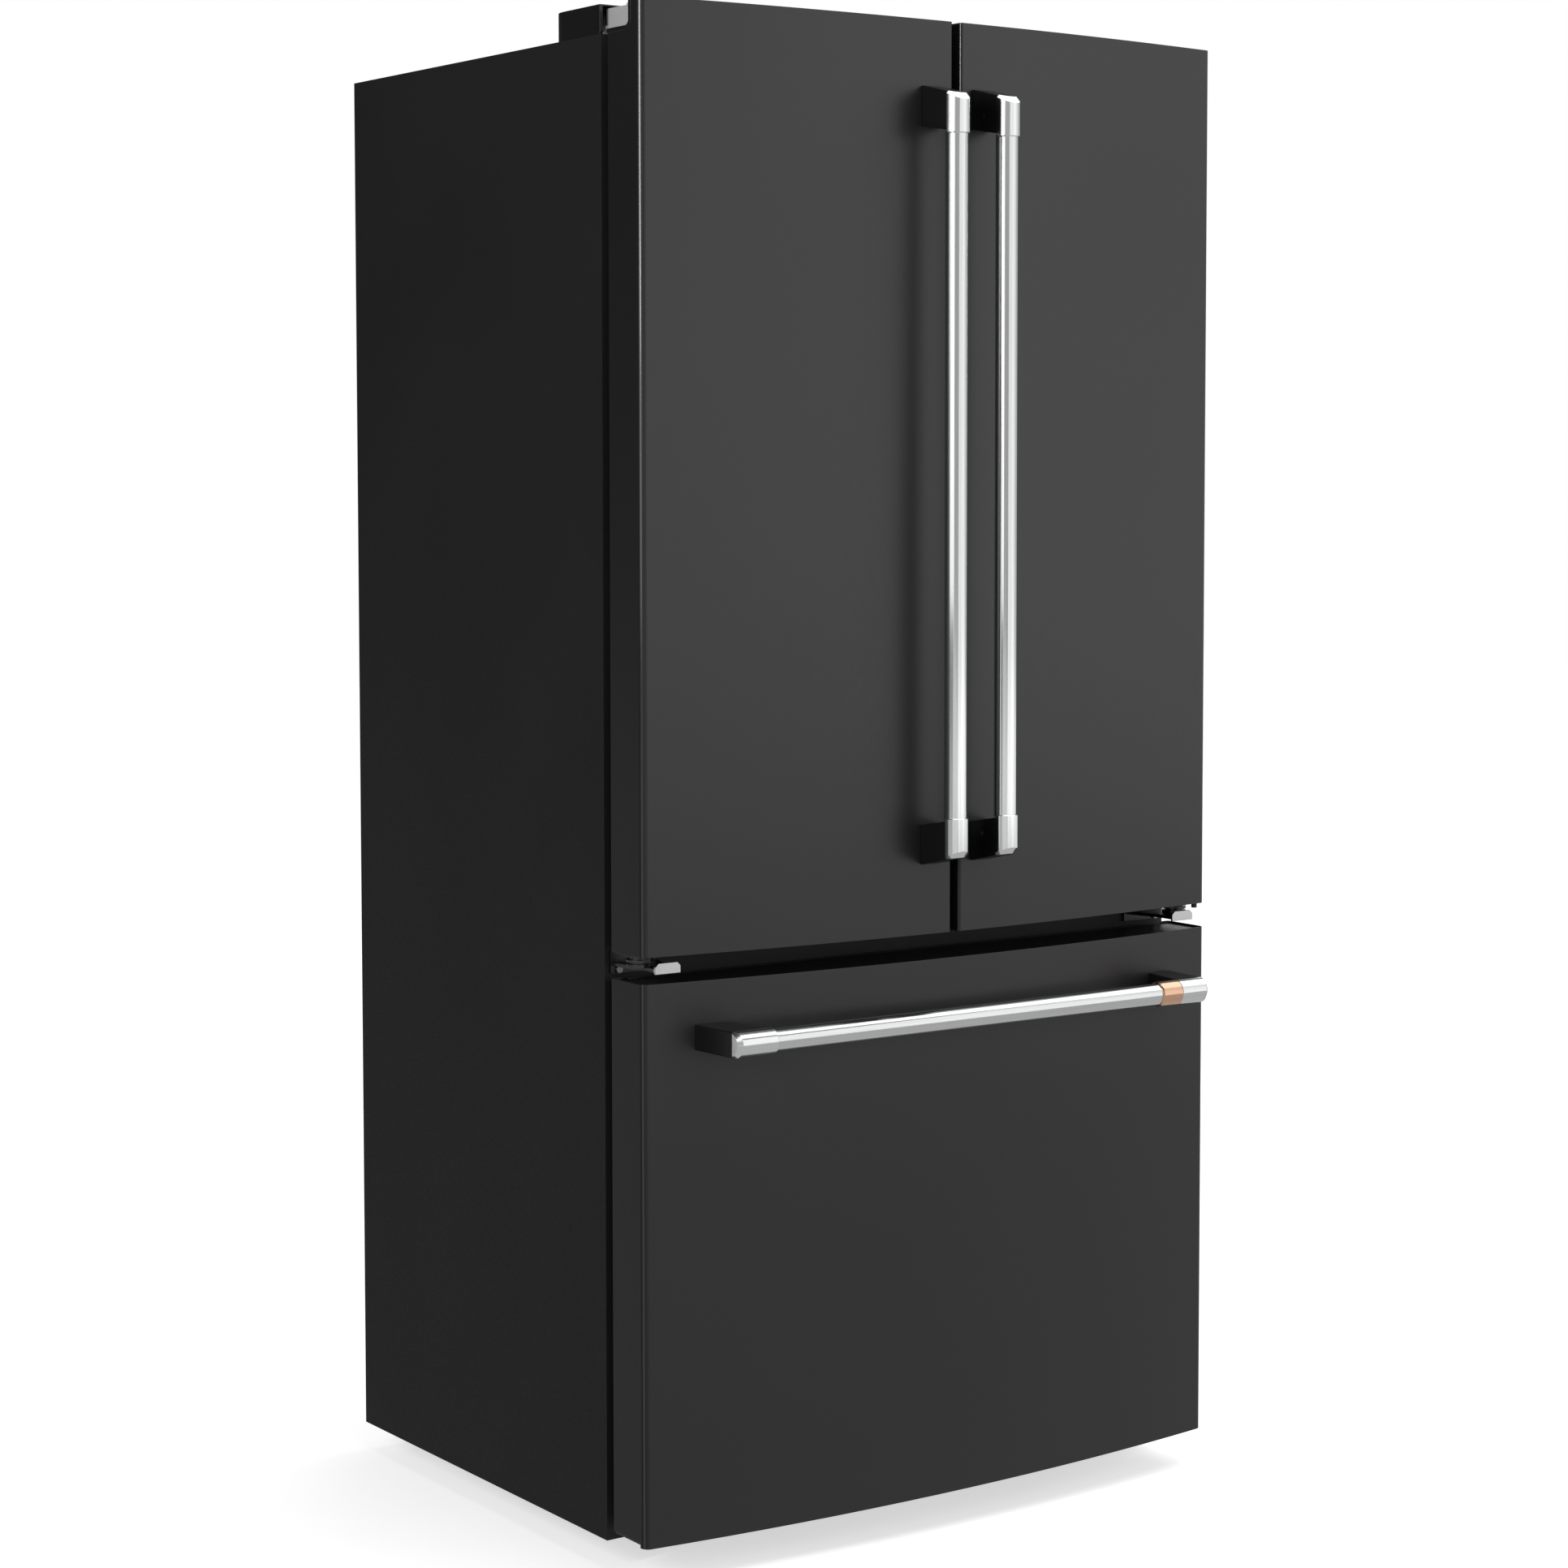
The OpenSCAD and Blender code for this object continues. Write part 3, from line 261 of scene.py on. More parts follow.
def clear(name, tint, rough, ior):
    """Clear plastic or glass."""
    f = Finish(name, Transmission_Weight=1.0, IOR=ior)
    f.colour(f.noise(4, 2), tint, tuple(min(1.0, c * 1.02) for c in tint))
    f.vary("Roughness", f.noise(40, 3), rough * 0.6, rough * 1.4)
    return f.bump(f.noise(120, 2), 0.04, 0.1 * MM).material


def glowing(name, base, strength):
    """A lit lens or key."""
    f = Finish(name, Roughness=0.4, Emission_Strength=strength)
    f.shader.inputs["Emission Color"].default_value = (1.0, 0.97, 0.92, 1)
    f.colour(f.noise(80, 2), base, tuple(c * 1.03 for c in base))
    return f.bump(f.cells(260), 0.2, 0.2 * MM).material


def floor_material():
    """Pale studio floor. It looks nearly white, but lights the object from below only a little."""
    f = Finish("floor", Roughness=0.7, Specular_IOR_Level=0.1)
    f.colour(f.noise(6, 3), grey(0.78), grey(0.80))
    glow = f.node("ShaderNodeTexGradient")
    glow.gradient_type = "SPHERICAL"
    f.link(f.stretched((1 / FLOOR_GLOW_RADIUS,) * 3), glow.inputs["Vector"])
    f.shader.inputs["Emission Color"].default_value = (1, 1, 1, 1)
    f.vary("Emission Strength", glow.outputs["Fac"], FLOOR_GLOW_FAR, FLOOR_GLOW_NEAR, 0.0, 0.9)
    rays = f.node("ShaderNodeLightPath")
    output = next(n for n in f.tree.nodes if n.type == "OUTPUT_MATERIAL")
    bounce = f.node("ShaderNodeBsdfDiffuse")
    bounce.inputs["Color"].default_value = (*grey(FLOOR_BOUNCE), 1)
    in_mirrors = f.node("ShaderNodeEmission")
    in_mirrors.inputs["Strength"].default_value = FLOOR_IN_MIRRORS
    shown = bounce.outputs[0]
    for ray, shader in (("Is Glossy Ray", in_mirrors), ("Is Camera Ray", f.shader)):
        mix = f.node("ShaderNodeMixShader")
        f.link(rays.outputs[ray], mix.inputs["Fac"])
        f.link(shown, mix.inputs[1])
        f.link(shader.outputs[0], mix.inputs[2])
        shown = mix.outputs["Shader"]
    f.link(shown, output.inputs["Surface"])
    return f.material


STEEL_LOW, STEEL_HIGH = (0.60, 0.605, 0.61), (0.66, 0.665, 0.67)
ENDS_LOW, ENDS_HIGH = (0.66, 0.665, 0.67), (0.71, 0.715, 0.72)
FRONT_PAINT = front_paint()
CASE_PAINT = case_paint()
STEEL_UPRIGHT = brushed_metal("steel_brushed_upright", STEEL_LOW, STEEL_HIGH, along=2)
STEEL_ACROSS = brushed_metal("steel_brushed_across", STEEL_LOW, STEEL_HIGH, along=0, rough=(0.12, 0.18))
STEEL_ENDS = brushed_metal("steel_ends", ENDS_LOW, ENDS_HIGH, along=2, rough=(0.12, 0.17))
STEEL_ENDS_ACROSS = brushed_metal("steel_ends_across", ENDS_LOW, ENDS_HIGH, along=0, rough=(0.14, 0.20))
COPPER = brushed_metal("copper_band", (0.66, 0.40, 0.27), (0.72, 0.46, 0.32), along=0,
                       rough=(0.16, 0.24))
POST_BLACK = black_plastic("post_black", 0.006, 0.36)
CAP_BLACK = black_plastic("cap_black", 0.010, 0.42)
COVER_BLACK = black_plastic("cover_black", 0.008, 0.22, grain=300, depth=0.03)
RUBBER = black_plastic("gasket_rubber", 0.045, 0.62, grain=1200, level=0.25)
DARK_STEEL = black_plastic("frame_black", 0.025, 0.5, grain=500, depth=0.15)
COMPRESSOR_BLACK = black_plastic("compressor_black", 0.016, 0.34, grain=240, depth=0.2, level=0.5)
COIL_BLACK = black_plastic("coil_black", 0.02, 0.45, grain=400)
FAN_GREY = moulded("fan_grey", grey(0.10), grey(0.12), 0.45)
MID_HINGE = hinge_plate()
TOP_HINGE = zinc_plate("top_hinge_zinc", 0.62, 0.42, cell=60, metal=0.25, spangle=0.04)
RAIL_ZINC = zinc_plate("rail_zinc", 0.62, 0.30, cell=160, spangle=0.05)
BACK_ZINC = zinc_plate("galvanised_back", 0.42, 0.42, cell=70, spangle=0.09)
SCREW_STEEL = zinc_plate("screw_steel", 0.30, 0.28, cell=400)
ALUMINIUM = brushed_metal("evaporator_aluminium", grey(0.70), grey(0.80), along=2, rough=(0.25, 0.4),
                          streaks=500)
COPPER_PIPE = brushed_metal("copper_pipe", (0.62, 0.30, 0.18), (0.72, 0.38, 0.24), along=1,
                            rough=(0.28, 0.4), streaks=120)
LINER_WHITE = moulded("liner_white", grey(0.74, 0.99), grey(0.77, 0.99), 0.32)
PANEL_WHITE = moulded("door_panel_white", grey(0.72, 0.99), grey(0.75, 0.99), 0.36)
PART_WHITE = moulded("part_white", grey(0.66), grey(0.70), 0.4)
TRIM_GREY = moulded("shelf_rim", grey(0.52), grey(0.56), 0.3)
FLAP_GREY = moulded("flap_grey", grey(0.44), grey(0.48), 0.42)
FOAM = moulded("foam", (0.75, 0.60, 0.33), (0.82, 0.68, 0.40), 0.8, grain=200, bump=0.8)
BIN_CLEAR = clear("bin_clear", (0.93, 0.955, 0.965), 0.06, 1.45)
CRISPER_CLEAR = clear("crisper_clear", (0.94, 0.965, 0.975), 0.12, 1.45)
SHELF_GLASS = clear("shelf_glass", (0.86, 0.95, 0.92), 0.02, 1.5)
SLIDER_BLUE = moulded("slider_blue", (0.24, 0.36, 0.44), (0.28, 0.40, 0.48), 0.35)
BASKET_GREY = moulded("basket_grey", grey(0.60), grey(0.64), 0.38)
ROLLER_BLACK = black_plastic("roller_black", 0.02, 0.5)
LEG_ZINC = zinc_plate("leg_zinc", 0.45, 0.38, cell=200)
LIGHT_LENS = glowing("light_lens", (0.80, 0.80, 0.79), 8.0)
DISPLAY_BLACK = black_plastic("display_black", 0.004, 0.12, grain=200, depth=0.01, level=0.6)
KEY_GLOW = glowing("key_glow", (0.55, 0.62, 0.70), 0.8)
WIRE_BLACK = black_plastic("wire_black", 0.012, 0.5)


# ---- CAD nodes: finish, and the rounding put on their edges in mm ----

ROUNDED = {
    "outer_case": (CASE_PAINT, 0.45), "foam_insulation": (FOAM, 0),
    "fresh_food_liner": (LINER_WHITE, 0.9), "freezer_liner": (LINER_WHITE, 0.9),
    "back_panel": (BACK_ZINC, 0.4), "compressor_cover": (DARK_STEEL, 0.5),
    "base_frame": (DARK_STEEL, 0.5), "compressor": (COMPRESSOR_BLACK, 0.8),
    "condenser_coil": (COIL_BLACK, 0), "condenser_fan_shroud": (DARK_STEEL, 0.5),
    "condenser_fan_blade": (FAN_GREY, 0.3), "evaporator_coil": (ALUMINIUM, 0),
    "evaporator_cover": (PART_WHITE, 0.6), "evaporator_fan_blade": (PART_WHITE, 0.3),
    "air_tower": (PART_WHITE, 1.2), "control_panel": (PART_WHITE, 0.9),
    "shelf_frames": (TRIM_GREY, 0.9), "shelf_panes": (SHELF_GLASS, 0.4),
    "top_hinges": (TOP_HINGE, 0.5), "hinge_covers": (COVER_BLACK, 0.9),
    "mid_hinges": (MID_HINGE, 0.4), "hinge_screws": (SCREW_STEEL, 0.4),
    "mullion_guide": (PART_WHITE, 0.8), "fixed_rails": (RAIL_ZINC, 0.4),
    "slide_members": (RAIL_ZINC, 0.4), "upper_basket": (BASKET_GREY, 0.8),
    "lower_basket": (BASKET_GREY, 0.8), "rear_rollers": (ROLLER_BLACK, 0.8),
    "left_leg": (LEG_ZINC, 0.5), "right_leg": (LEG_ZINC, 0.5),
    "left_crisper": (CRISPER_CLEAR, 0.9), "right_crisper": (CRISPER_CLEAR, 0.9),
    "left_humidity_slider": (SLIDER_BLUE, 0.7), "right_humidity_slider": (SLIDER_BLUE, 0.7),
    "mullion_flap": (FLAP_GREY, 1.5),
    "drawer_skin": (FRONT_PAINT, 0.4), "drawer_inner_panel": (PANEL_WHITE, 2.0),
    "drawer_end_caps": (CAP_BLACK, 0.5), "drawer_rails": (RAIL_ZINC, 0.4),
    "drawer_handle_bar": (STEEL_ACROSS, 0.3), "drawer_handle_ends": (STEEL_ENDS_ACROSS, 0),
    "drawer_handle_posts": (POST_BLACK, 1.5), "drawer_handle_band": (COPPER, 0.4),
}
for side, _ in SIDES:
    ROUNDED.update({
        side + "_door_skin": (FRONT_PAINT, 0.4), side + "_door_inner_panel": (PANEL_WHITE, 2.0),
        side + "_door_end_caps": (CAP_BLACK, 0.5), side + "_door_bins": (BIN_CLEAR, 0.8),
        side + "_handle_bar": (STEEL_UPRIGHT, 0.3), side + "_handle_ends": (STEEL_ENDS, 0),
        side + "_handle_posts": (POST_BLACK, 1.5),
    })


def round_edges(obj, width):
    """Welds the split corners, joins flat triangles, rounds sharp edges and evens out the shading."""
    if width <= 0:
        return
    weld = obj.modifiers.new("weld", "WELD")
    weld.merge_threshold = WELD_REACH
    flat = obj.modifiers.new("flat", "DECIMATE")
    flat.decimate_type = "DISSOLVE"
    flat.angle_limit = FLAT_ANGLE
    bevel = obj.modifiers.new("bevel", "BEVEL")
    bevel.width = width * MM
    bevel.segments = ROUND_SEGMENTS
    bevel.limit_method = "ANGLE"
    bevel.angle_limit = SHARP_ANGLE
    bevel.harden_normals = False
    obj.modifiers.new("normals", "WEIGHTED_NORMAL").keep_sharp = False
    obj.data.shade_smooth()


def dress_cad_nodes():
    for name, (material, width) in ROUNDED.items():
        obj = NODES[name]
        obj.data.materials[0] = material
        round_edges(obj, width)


# ---- building pieces ----

def piece(name, body, material, build, width=0):
    """A mesh drawn by build(bm), riding on a CAD body; the width is its rounding in mm."""
    bm = bmesh.new()
    build(bm)
    bmesh.ops.recalc_face_normals(bm, faces=bm.faces)
    mesh = bpy.data.meshes.new(name)
    bm.to_mesh(mesh)
    bm.free()
    obj = bpy.data.objects.new(name, mesh)
    bpy.context.scene.collection.objects.link(obj)
    mesh.materials.append(material)
    mesh.shade_smooth()
    round_edges(obj, width)
    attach(obj, body)
    return obj


def tube(name, body, material, points, radius):
    """A round wire or pipe through the points."""
    curve = bpy.data.curves.new(name, "CURVE")
    curve.dimensions = "3D"
    curve.bevel_depth = radius
    curve.bevel_resolution = 4
    curve.use_fill_caps = True
    line = curve.splines.new("POLY")
    line.points.add(len(points) - 1)
    for point, place in zip(line.points, points):
        point.co = (*place, 1)
    line.use_smooth = True
    obj = bpy.data.objects.new(name, curve)
    bpy.context.scene.collection.objects.link(obj)
    curve.materials.append(material)
    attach(obj, body)
    return obj


def bend(points, radius):
    """The points with each inner corner replaced by an arc-like run of the given radius."""
    steps = 6
    points = [Vector(p) for p in points]
    out = [points[0]]
    for before, corner, after in zip(points, points[1:], points[2:]):
        into, away = (before - corner), (after - corner)
        reach = min(radius, into.length / 2, away.length / 2)
        start, end = corner + into.normalized() * reach, corner + away.normalized() * reach
        for k in range(steps + 1):
            t = k / steps
            out.append(start.lerp(corner, t).lerp(corner.lerp(end, t), t))
    return out + [points[-1]]


def quarter_arc():
    """Cosine and sine at each 15 degrees of a quarter turn."""
    return [(math.cos(a), math.sin(a)) for a in (math.radians(15 * n) for n in range(7))]


def add_strip(bm, a, b):
    """Faces between two rows of vertices."""
    for k in range(len(a) - 1):
        bm.faces.new((a[k], a[k + 1], b[k + 1], b[k]))


def add_box(bm, low, high):
    corners = [bm.verts.new((x, y, z)) for x in (low[0], high[0]) for y in (low[1], high[1])
               for z in (low[2], high[2])]
    for quad in ((0, 1, 3, 2), (4, 6, 7, 5), (0, 4, 5, 1), (2, 3, 7, 6), (0, 2, 6, 4), (1, 5, 7, 3)):
        bm.faces.new([corners[k] for k in quad])


def add_frame(bm, low, high, profile):
    """A mitred frame in the X-Z plane; the profile holds (distance in from the outline, y)."""
    rings = []
    for inset, y in profile:
        x0, z0, x1, z1 = low[0] + inset, low[1] + inset, high[0] - inset, high[1] - inset
        rings.append([bm.verts.new(p) for p in ((x0, y, z0), (x1, y, z0), (x1, y, z1), (x0, y, z1))])
    for a, b in zip(rings, rings[1:] + rings[:1]):
        for k in range(4):
            bm.faces.new((a[k], a[(k + 1) % 4], b[(k + 1) % 4], b[k]))


def add_turned(bm, centre, axis, profile, sides=24):
    """A turned piece about an axis; the profile holds (radius, height along the axis)."""
    turn = Vector((0, 0, 1)).rotation_difference(Vector(axis)).to_matrix()
    rings = []
    for radius, height in profile:
        count = 1 if radius <= 0 else sides
        rings.append([bm.verts.new(Vector(centre) + turn @ Vector((
            radius * math.cos(math.tau * k / count), radius * math.sin(math.tau * k / count), height)))
            for k in range(count)])
    for a, b in zip(rings, rings[1:]):
        for k in range(sides):
            quad = [a[k % len(a)], a[(k + 1) % len(a)], b[(k + 1) % len(b)], b[k % len(b)]]
            unique = list(dict.fromkeys(quad))
            if len(unique) > 2:
                bm.faces.new(unique)


def screw_profile(radius, height):
    """Pan head with a round drive recess."""
    return [(radius, 0), (radius, height * 0.45), (radius * 0.86, height * 0.85), (radius * 0.6, height),
            (radius * 0.42, height), (radius * 0.36, height * 0.35), (0, height * 0.3)]


# ---- pieces ----

def make_gaskets():
    """Magnetic seals with a bellows, in place of the plain CAD rings."""
    width = 20 * MM
    section = ((0.14, 0.0), (0.10, 0.10), (0.00, 0.22), (0.00, 0.34), (0.12, 0.46), (0.04, 0.58),
               (0.02, 0.84), (0.08, 0.97), (0.20, 1.0), (0.66, 1.0), (0.78, 0.97), (0.84, 0.84),
               (0.82, 0.62), (0.90, 0.48), (1.00, 0.34), (1.00, 0.20), (0.90, 0.08), (0.86, 0.0))
    for node, body in (("left_door_gasket", "left_door"), ("right_door_gasket", "right_door"),
                       ("drawer_gasket", "freezer_drawer")):
        low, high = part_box(node)
        depth = high.y - low.y
        profile = [(u * width, low.y + v * depth) for u, v in section]
        seal = piece(body + "_seal", body, RUBBER,
                     lambda bm: add_frame(bm, (low.x, low.z), (high.x, high.z), profile))
        seal.data.polygons.foreach_set("use_smooth", [False] * len(seal.data.polygons))
        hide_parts(node)


def make_bin_lips():
    """Thick moulded lip round the top edge of each door bin."""
    aside, ahead, behind, above = 6 * MM, 30 * MM, 6.5 * MM, 0.5 * MM
    corner, lip_radius = 16 * MM, 2.2 * MM
    arc = quarter_arc()
    for side, _ in SIDES:
        for k in (1, 2, 3):
            low, high = OPENINGS[f"{side}_bin_{k}"]
            left, right = low[0] - aside, high[0] + aside
            start, end, z = low[1] + ahead, high[1] + behind, high[2] + above
            path = [(left, start, z)]
            path += [(left + corner - corner * c, end - corner + corner * s, z) for c, s in arc]
            path += [(right - corner + corner * c, end - corner + corner * s, z) for c, s in reversed(arc)]
            path += [(right, start, z)]
            tube(f"{side}_bin_lip_{k}", side + "_door", TRIM_GREY, path, lip_radius)


def make_shelf_trims():
    """Brushed strip along the front of each glass shelf."""
    gap, aside = 3 * MM, 1 * MM
    before, behind, upper, lower = 2.5 * MM, 0.5 * MM, 1 * MM, 12.5 * MM
    for side, _ in SIDES:
        for k in (2, 3):
            low, high = OPENINGS[f"{side}_shelf_space_{k}"]
            front, top = low[1] - gap, low[2] - gap
            near = (low[0] - aside, front - before, top - lower)
            far = (high[0] + aside, front + behind, top - upper)
            piece(f"{side}_shelf_trim_{k}", "cabinet", STEEL_ACROSS,
                  lambda bm: add_box(bm, near, far), width=0.8)


def make_ceiling_light():
    """Lit lens under the control panel, and a plain display with keys on its front."""
    low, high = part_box("control_panel")
    middle, floor = (low.y + high.y) / 2 + 10 * MM, low.z
    lens_low = (-88 * MM, middle - 23 * MM, floor + 0.3 * MM)
    lens_high = (88 * MM, middle + 23 * MM, floor + 2.8 * MM)
    piece("ceiling_light_lens", "cabinet", LIGHT_LENS,
          lambda bm: add_box(bm, lens_low, lens_high), width=1.0)
    display_low = (-59 * MM, low.y + 0.4 * MM, floor + 5.4 * MM)
    display_high = (59 * MM, low.y + 2.4 * MM, floor + 16.6 * MM)
    piece("touch_display", "cabinet", DISPLAY_BLACK,
          lambda bm: add_box(bm, display_low, display_high), width=0.3)

    def keys(bm):
        dome = [(0, 0), (2.2 * MM, 0), (2.2 * MM, 0.15 * MM), (1.6 * MM, 0.2 * MM), (0, 0.2 * MM)]
        for x in (-42, -21, 0, 21, 42):
            add_turned(bm, (x * MM, low.y + 0.4 * MM, floor + 11 * MM), (0, -1, 0), dome)
    piece("touch_keys", "cabinet", KEY_GLOW, keys)


def make_back_details():
    """Screws and pressed ribs of the rear panel, and the screws of the machine space cover."""
    low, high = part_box("back_panel")
    cover_low, cover_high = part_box("compressor_cover")
    face = high.y
    bottom = cover_high.z
    sunk = 0.1 * MM

    def screws(bm):
        head = screw_profile(4.2 * MM, 2.4 * MM)
        first, spread, rows = bottom + 0.05, high.z - bottom - 0.08, 7
        for x in (low.x + 9 * MM, high.x - 9 * MM):
            for k in range(rows):
                add_turned(bm, (x, face - sunk, first + k * spread / (rows - 1)), (0, 1, 0), head)
        for x in (-0.38, -0.19, 0, 0.19, 0.38):
            add_turned(bm, (x, face - sunk, high.z - 12 * MM), (0, 1, 0), head)
    piece("back_panel_screws", "cabinet", SCREW_STEEL, screws)

    def ribs(bm):
        half, rise, end_margin, narrowed = 14 * MM, 2.2 * MM, 0.10, 0.35
        root = face - 0.2 * MM
        start, end = bottom + end_margin, high.z - end_margin
        section = [(-half, 0), (-half * 0.55, rise), (half * 0.55, rise), (half, 0)]
        stations = ((start - half, narrowed, 0), (start, 1, 1), (end, 1, 1), (end + half, narrowed, 0))
        for x in (-0.24, -0.08, 0.08, 0.24):
            rows = [[bm.verts.new((x + u * grow, root + v * lift, z)) for u, v in section]
                    for z, grow, lift in stations]
            for a, b in zip(rows, rows[1:]):
                add_strip(bm, a, b)
    piece("back_panel_ribs", "cabinet", BACK_ZINC, ribs, width=0.8)

    def cover_screws(bm):
        plate = cover_low.y + 2 * MM
        for x in (-0.385, -0.2, 0.0, 0.2, 0.385):
            for z in (cover_low.z + 8 * MM, cover_high.z - 8 * MM):
                add_turned(bm, (x, plate - sunk, z), (0, 1, 0), screw_profile(4.5 * MM, 2.6 * MM))
    piece("cover_screws", "cabinet", SCREW_STEEL, cover_screws)


def make_machine_pipes():
    """Refrigerant pipes and the wires to the cord gland, inside the machine space."""
    low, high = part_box("compressor")
    y, left, right = (low.y + high.y) / 2, low.x, high.x
    discharge = [(left + 5 * MM, y + 0.030, 0.103), (left - 0.02, y + 0.030, 0.103),
                 (left - 0.04, y + 0.07, 0.075), (left - 0.12, y + 0.085, 0.066),
                 (-0.10, y + 0.085, 0.066), (-0.118, y + 0.060, 0.066)]
    suction = [(left + 5 * MM, y, 0.153), (left - 0.02, y, 0.153), (left - 0.035, y - 0.05, 0.20),
               (left - 0.02, y - 0.085, 0.245), (left + 0.16, y - 0.09, 0.25)]
    wires = [(right - 4 * MM, y, 0.12), (right + 0.02, y + 0.01, 0.12), (0.335, y + 0.05, 0.10),
             (0.340, y + 0.098, 0.110)]
    tube("discharge_pipe", "cabinet", COPPER_PIPE, bend(discharge, 0.02), 3.2 * MM)
    tube("suction_pipe", "cabinet", COPPER_PIPE, bend(suction, 0.025), 4 * MM)
    tube("motor_wires", "cabinet", WIRE_BLACK, bend(wires, 0.025), 3.2 * MM)


def make_recess_lips():
    """Glossy black lip of each top cap, round the recess that the hinge arm enters."""
    lip, step, corner = 5 * MM, 0.5 * MM, 6 * MM
    reach, depth = 58 * MM, 29 * MM
    for side, sign in SIDES:
        low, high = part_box(side + "_door_skin")
        face = (low.x if sign < 0 else high.x) + sign * step
        inside = face - sign * 2 * step
        front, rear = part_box("outer_case")[0].y - reach, high.y
        floor, top = high.z - depth, high.z

        def outline(grow):
            bend_radius = corner + grow
            turn = [(front + corner - bend_radius * c, floor + corner - bend_radius * s)
                    for c, s in quarter_arc()]
            return [(front - grow, top)] + turn + [(rear, floor - grow)]

        def band(bm):
            rows = [[bm.verts.new((x, y, z)) for y, z in outline(grow)]
                    for x, grow in ((face, 0), (face, lip), (inside, lip), (inside, 0))]
            for a, b in zip(rows, rows[1:] + rows[:1]):
                add_strip(bm, a, b)
            for k in (0, -1):
                bm.faces.new([row[k] for row in rows])
        piece(side + "_recess_lip", side + "_door", COVER_BLACK, band,
              width=0.4)


def make_post_screws():
    """Set screws on the inner sides of the door handles' posts and under the drawer handle's."""
    sunk, back, end_margin, sides = 1.2 * MM, 26 * MM, 34 * MM, 16
    head = screw_profile(3.2 * MM, 1.6 * MM)
    for side, sign in SIDES:
        low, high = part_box(side + "_handle_posts")
        inner = low.x if sign > 0 else high.x

        def screws(bm):
            for z in (low.z + end_margin, high.z - end_margin):
                add_turned(bm, (inner + sign * sunk, low.y + back, z), (-sign, 0, 0), head, sides)
        piece(side + "_handle_set_screws", side + "_door", CAP_BLACK, screws)
    low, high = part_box("drawer_handle_posts")

    def drawer_screws(bm):
        for x in (low.x + 32 * MM, high.x - 26 * MM):
            add_turned(bm, (x, low.y + back, low.z + sunk), (0, 0, -1), head, sides)
    piece("drawer_handle_set_screws", "freezer_drawer", CAP_BLACK, drawer_screws)


# ---- stage ----

def make_floor():
    bm = bmesh.new()
    marks = [FLOOR_HALF_SIZE * (2 * i / FLOOR_STEPS - 1) for i in range(FLOOR_STEPS + 1)]
    rows = [[bm.verts.new((x, y, 0)) for x in marks] for y in marks]
    for a, b in zip(rows, rows[1:]):
        add_strip(bm, a, b)
    mesh = bpy.data.meshes.new("studio_floor")
    bm.to_mesh(mesh)
    bm.free()
    mesh.materials.append(floor_material())
    floor = bpy.data.objects.new("studio_floor", mesh)
    bpy.context.scene.collection.objects.link(floor)


def make_world():
    """White behind the object; a dim grey everywhere else, so that the lights shape the metal."""
    world = bpy.data.worlds.new("studio")
    bpy.context.scene.world = world
    world.use_nodes = True
    nodes, links = world.node_tree.nodes, world.node_tree.links
    nodes.clear()
    output = nodes.new("ShaderNodeOutputWorld")
    mix = nodes.new("ShaderNodeMixShader")
    rays = nodes.new("ShaderNodeLightPath")
    around, behind = nodes.new("ShaderNodeBackground"), nodes.new("ShaderNodeBackground")
    around.inputs["Color"].default_value = (*grey(WORLD_AROUND), 1)
    behind.inputs["Color"].default_value = (1, 1, 1, 1)
    links.new(rays.outputs["Is Camera Ray"], mix.inputs["Fac"])
    links.new(around.outputs[0], mix.inputs[1])
    links.new(behind.outputs[0], mix.inputs[2])
    links.new(mix.outputs[0], output.inputs["Surface"])


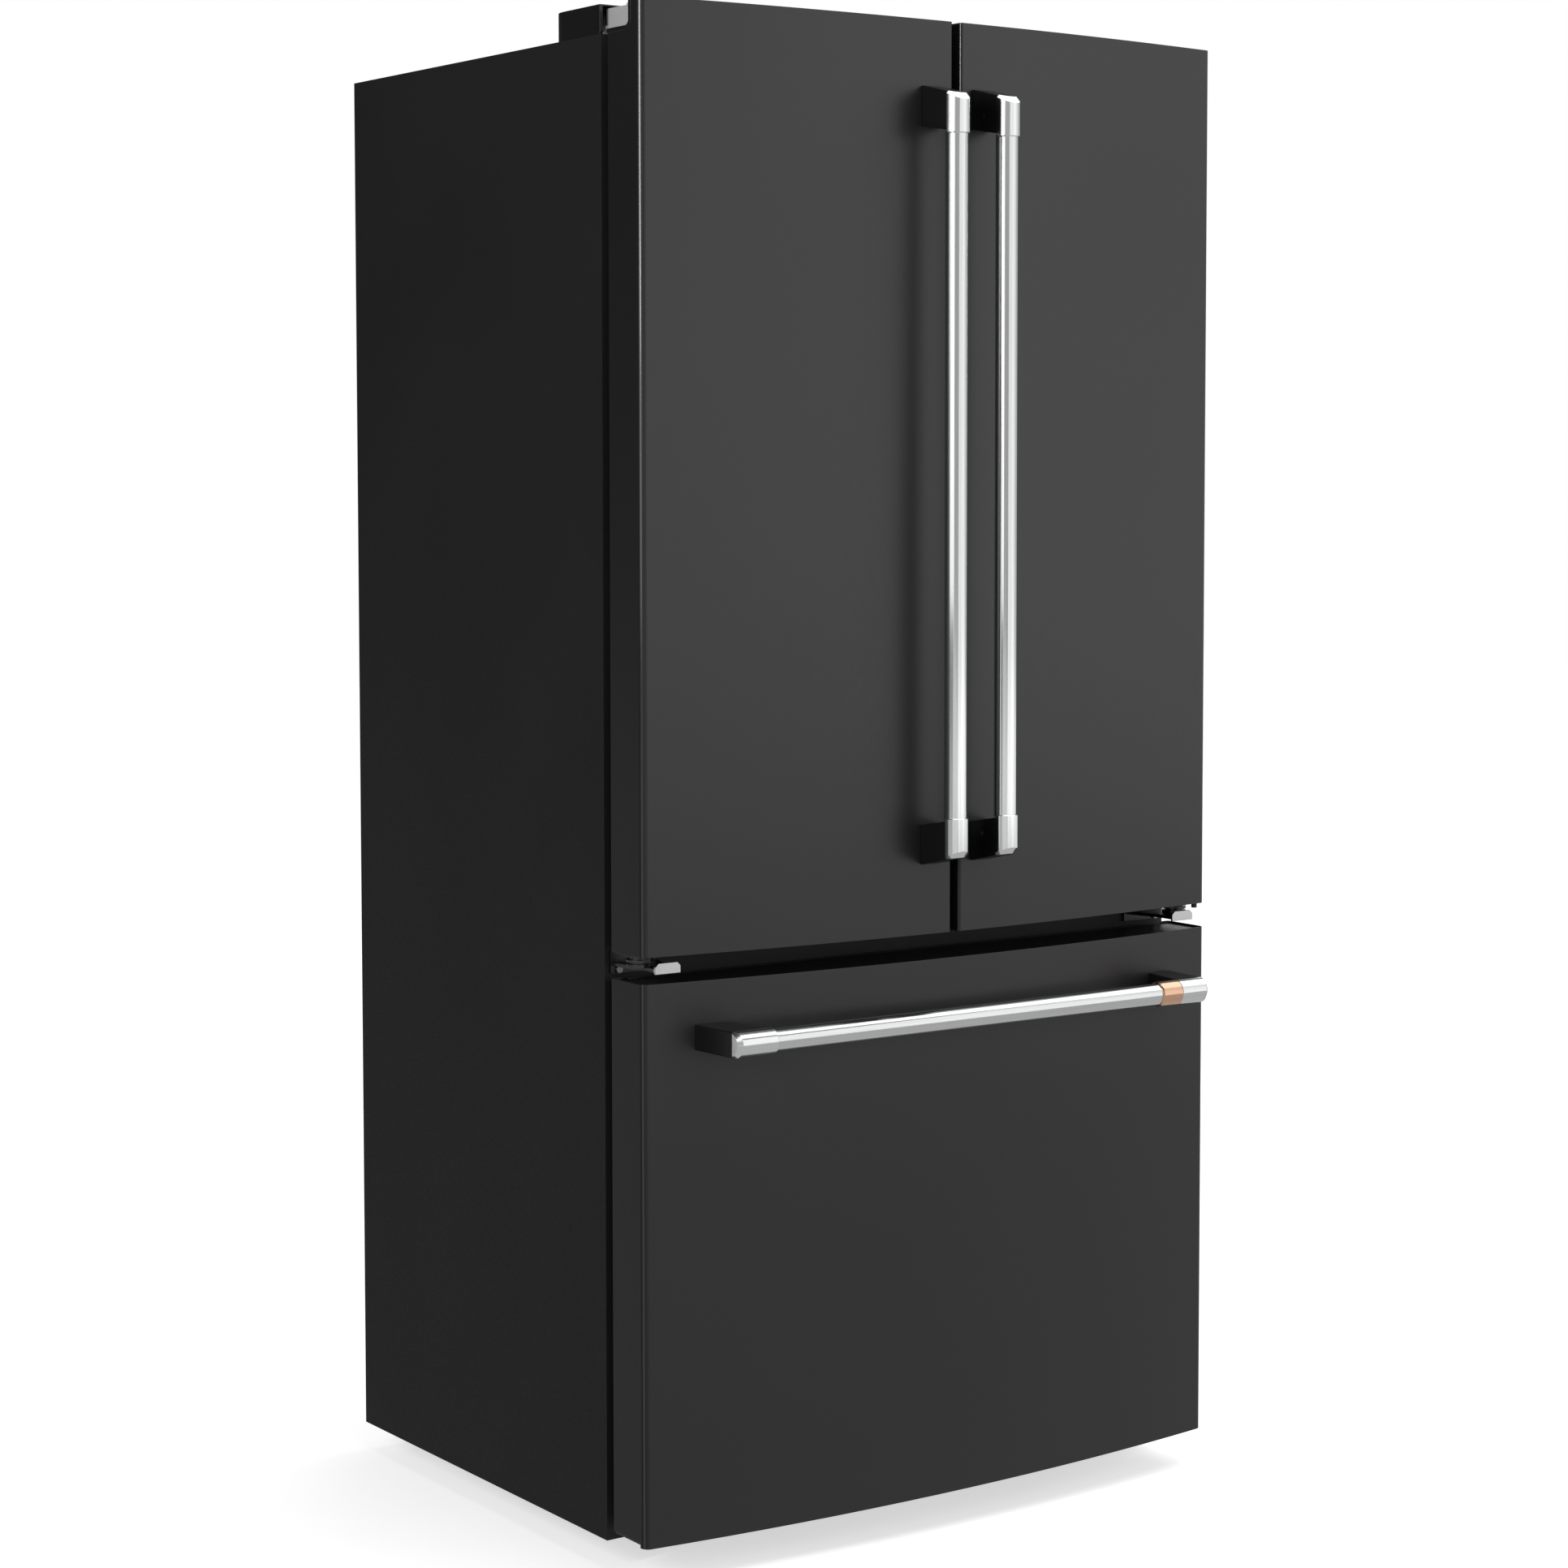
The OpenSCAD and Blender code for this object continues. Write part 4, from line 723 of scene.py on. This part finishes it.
def softbox(name, place, target, width, height, brightness):
    """A flat light that faces the target. Brightness 1 shows as white in a mirror."""
    light = bpy.data.lights.new(name, "AREA")
    light.shape = "RECTANGLE"
    light.size, light.size_y = width, height
    light.energy = brightness * math.pi * width * height
    obj = bpy.data.objects.new(name, light)
    bpy.context.scene.collection.objects.link(obj)
    obj.location = place
    obj.rotation_euler = (Vector(target) - Vector(place)).to_track_quat("-Z", "Y").to_euler()
    obj.visible_camera = False


def wall(name, azimuth, reach, width, low, high, brightness):
    """An upright softbox. The azimuth is 0 straight before the doors and grows towards the right."""
    a = math.radians(azimuth)
    middle = (low + high) / 2
    place = (BARS[0] + reach * math.sin(a), BARS[1] - reach * math.cos(a), middle)
    across = 2 * reach * math.tan(math.radians(width / 2))
    softbox(name, place, (*BARS, middle), across, high - low, brightness)


def make_lights():
    """Upright walls by azimuth, distance, angular width, lower and upper end, and brightness."""
    wall("left_wide", -81, 3.2, 44, 0.95, 3.1, 1.4)
    wall("left_core", -80, 3.1, 8, 1.5, 3.0, 14.0)
    wall("camera_side", -39.5, 4.0, 50, 0.3, 3.2, 0.43)
    wall("front_wall", 3, 4.2, 34, 0.35, 4.0, 1.10)
    wall("bright_wall", 34, 4.2, 28, 0.35, 4.0, 1.25)
    wall("right_wall", 59, 4.2, 22, 0.35, 4.0, 0.95)
    wall("right_side", 93, 3.8, 45, 0.35, 3.6, 0.55)
    softbox("overhead", (1.4, -0.5, 3.6), (1.4, -0.5, 0), 4.4, 3.7, 1.9)
    softbox("back_fill", (2.6, 3.4, 2.4), (0, 0.3, 1.0), 2.4, 2.2, 1.2)


def make_camera():
    """A nearly level camera with a long lens, left of the front and above the middle."""
    tilt_down, turn_right = 3.596, 35.568
    camera = bpy.data.cameras.new("camera")
    camera.lens = 76.8
    camera.sensor_width = 36.0
    camera.shift_x = -0.0340
    camera.shift_y = -0.066
    camera.clip_end = 60
    obj = bpy.data.objects.new("camera", camera)
    bpy.context.scene.collection.objects.link(obj)
    obj.location = (-2.3866, -3.4318, 1.2566)
    obj.rotation_euler = (math.radians(90 - tilt_down), 0, math.radians(-turn_right))
    bpy.context.scene.camera = obj


dress_cad_nodes()
make_gaskets()
make_bin_lips()
make_shelf_trims()
make_ceiling_light()
make_back_details()
make_machine_pipes()
make_recess_lips()
make_post_screws()
make_floor()
make_world()
make_lights()
make_camera()
bpy.context.scene.view_settings.view_transform = "Standard"
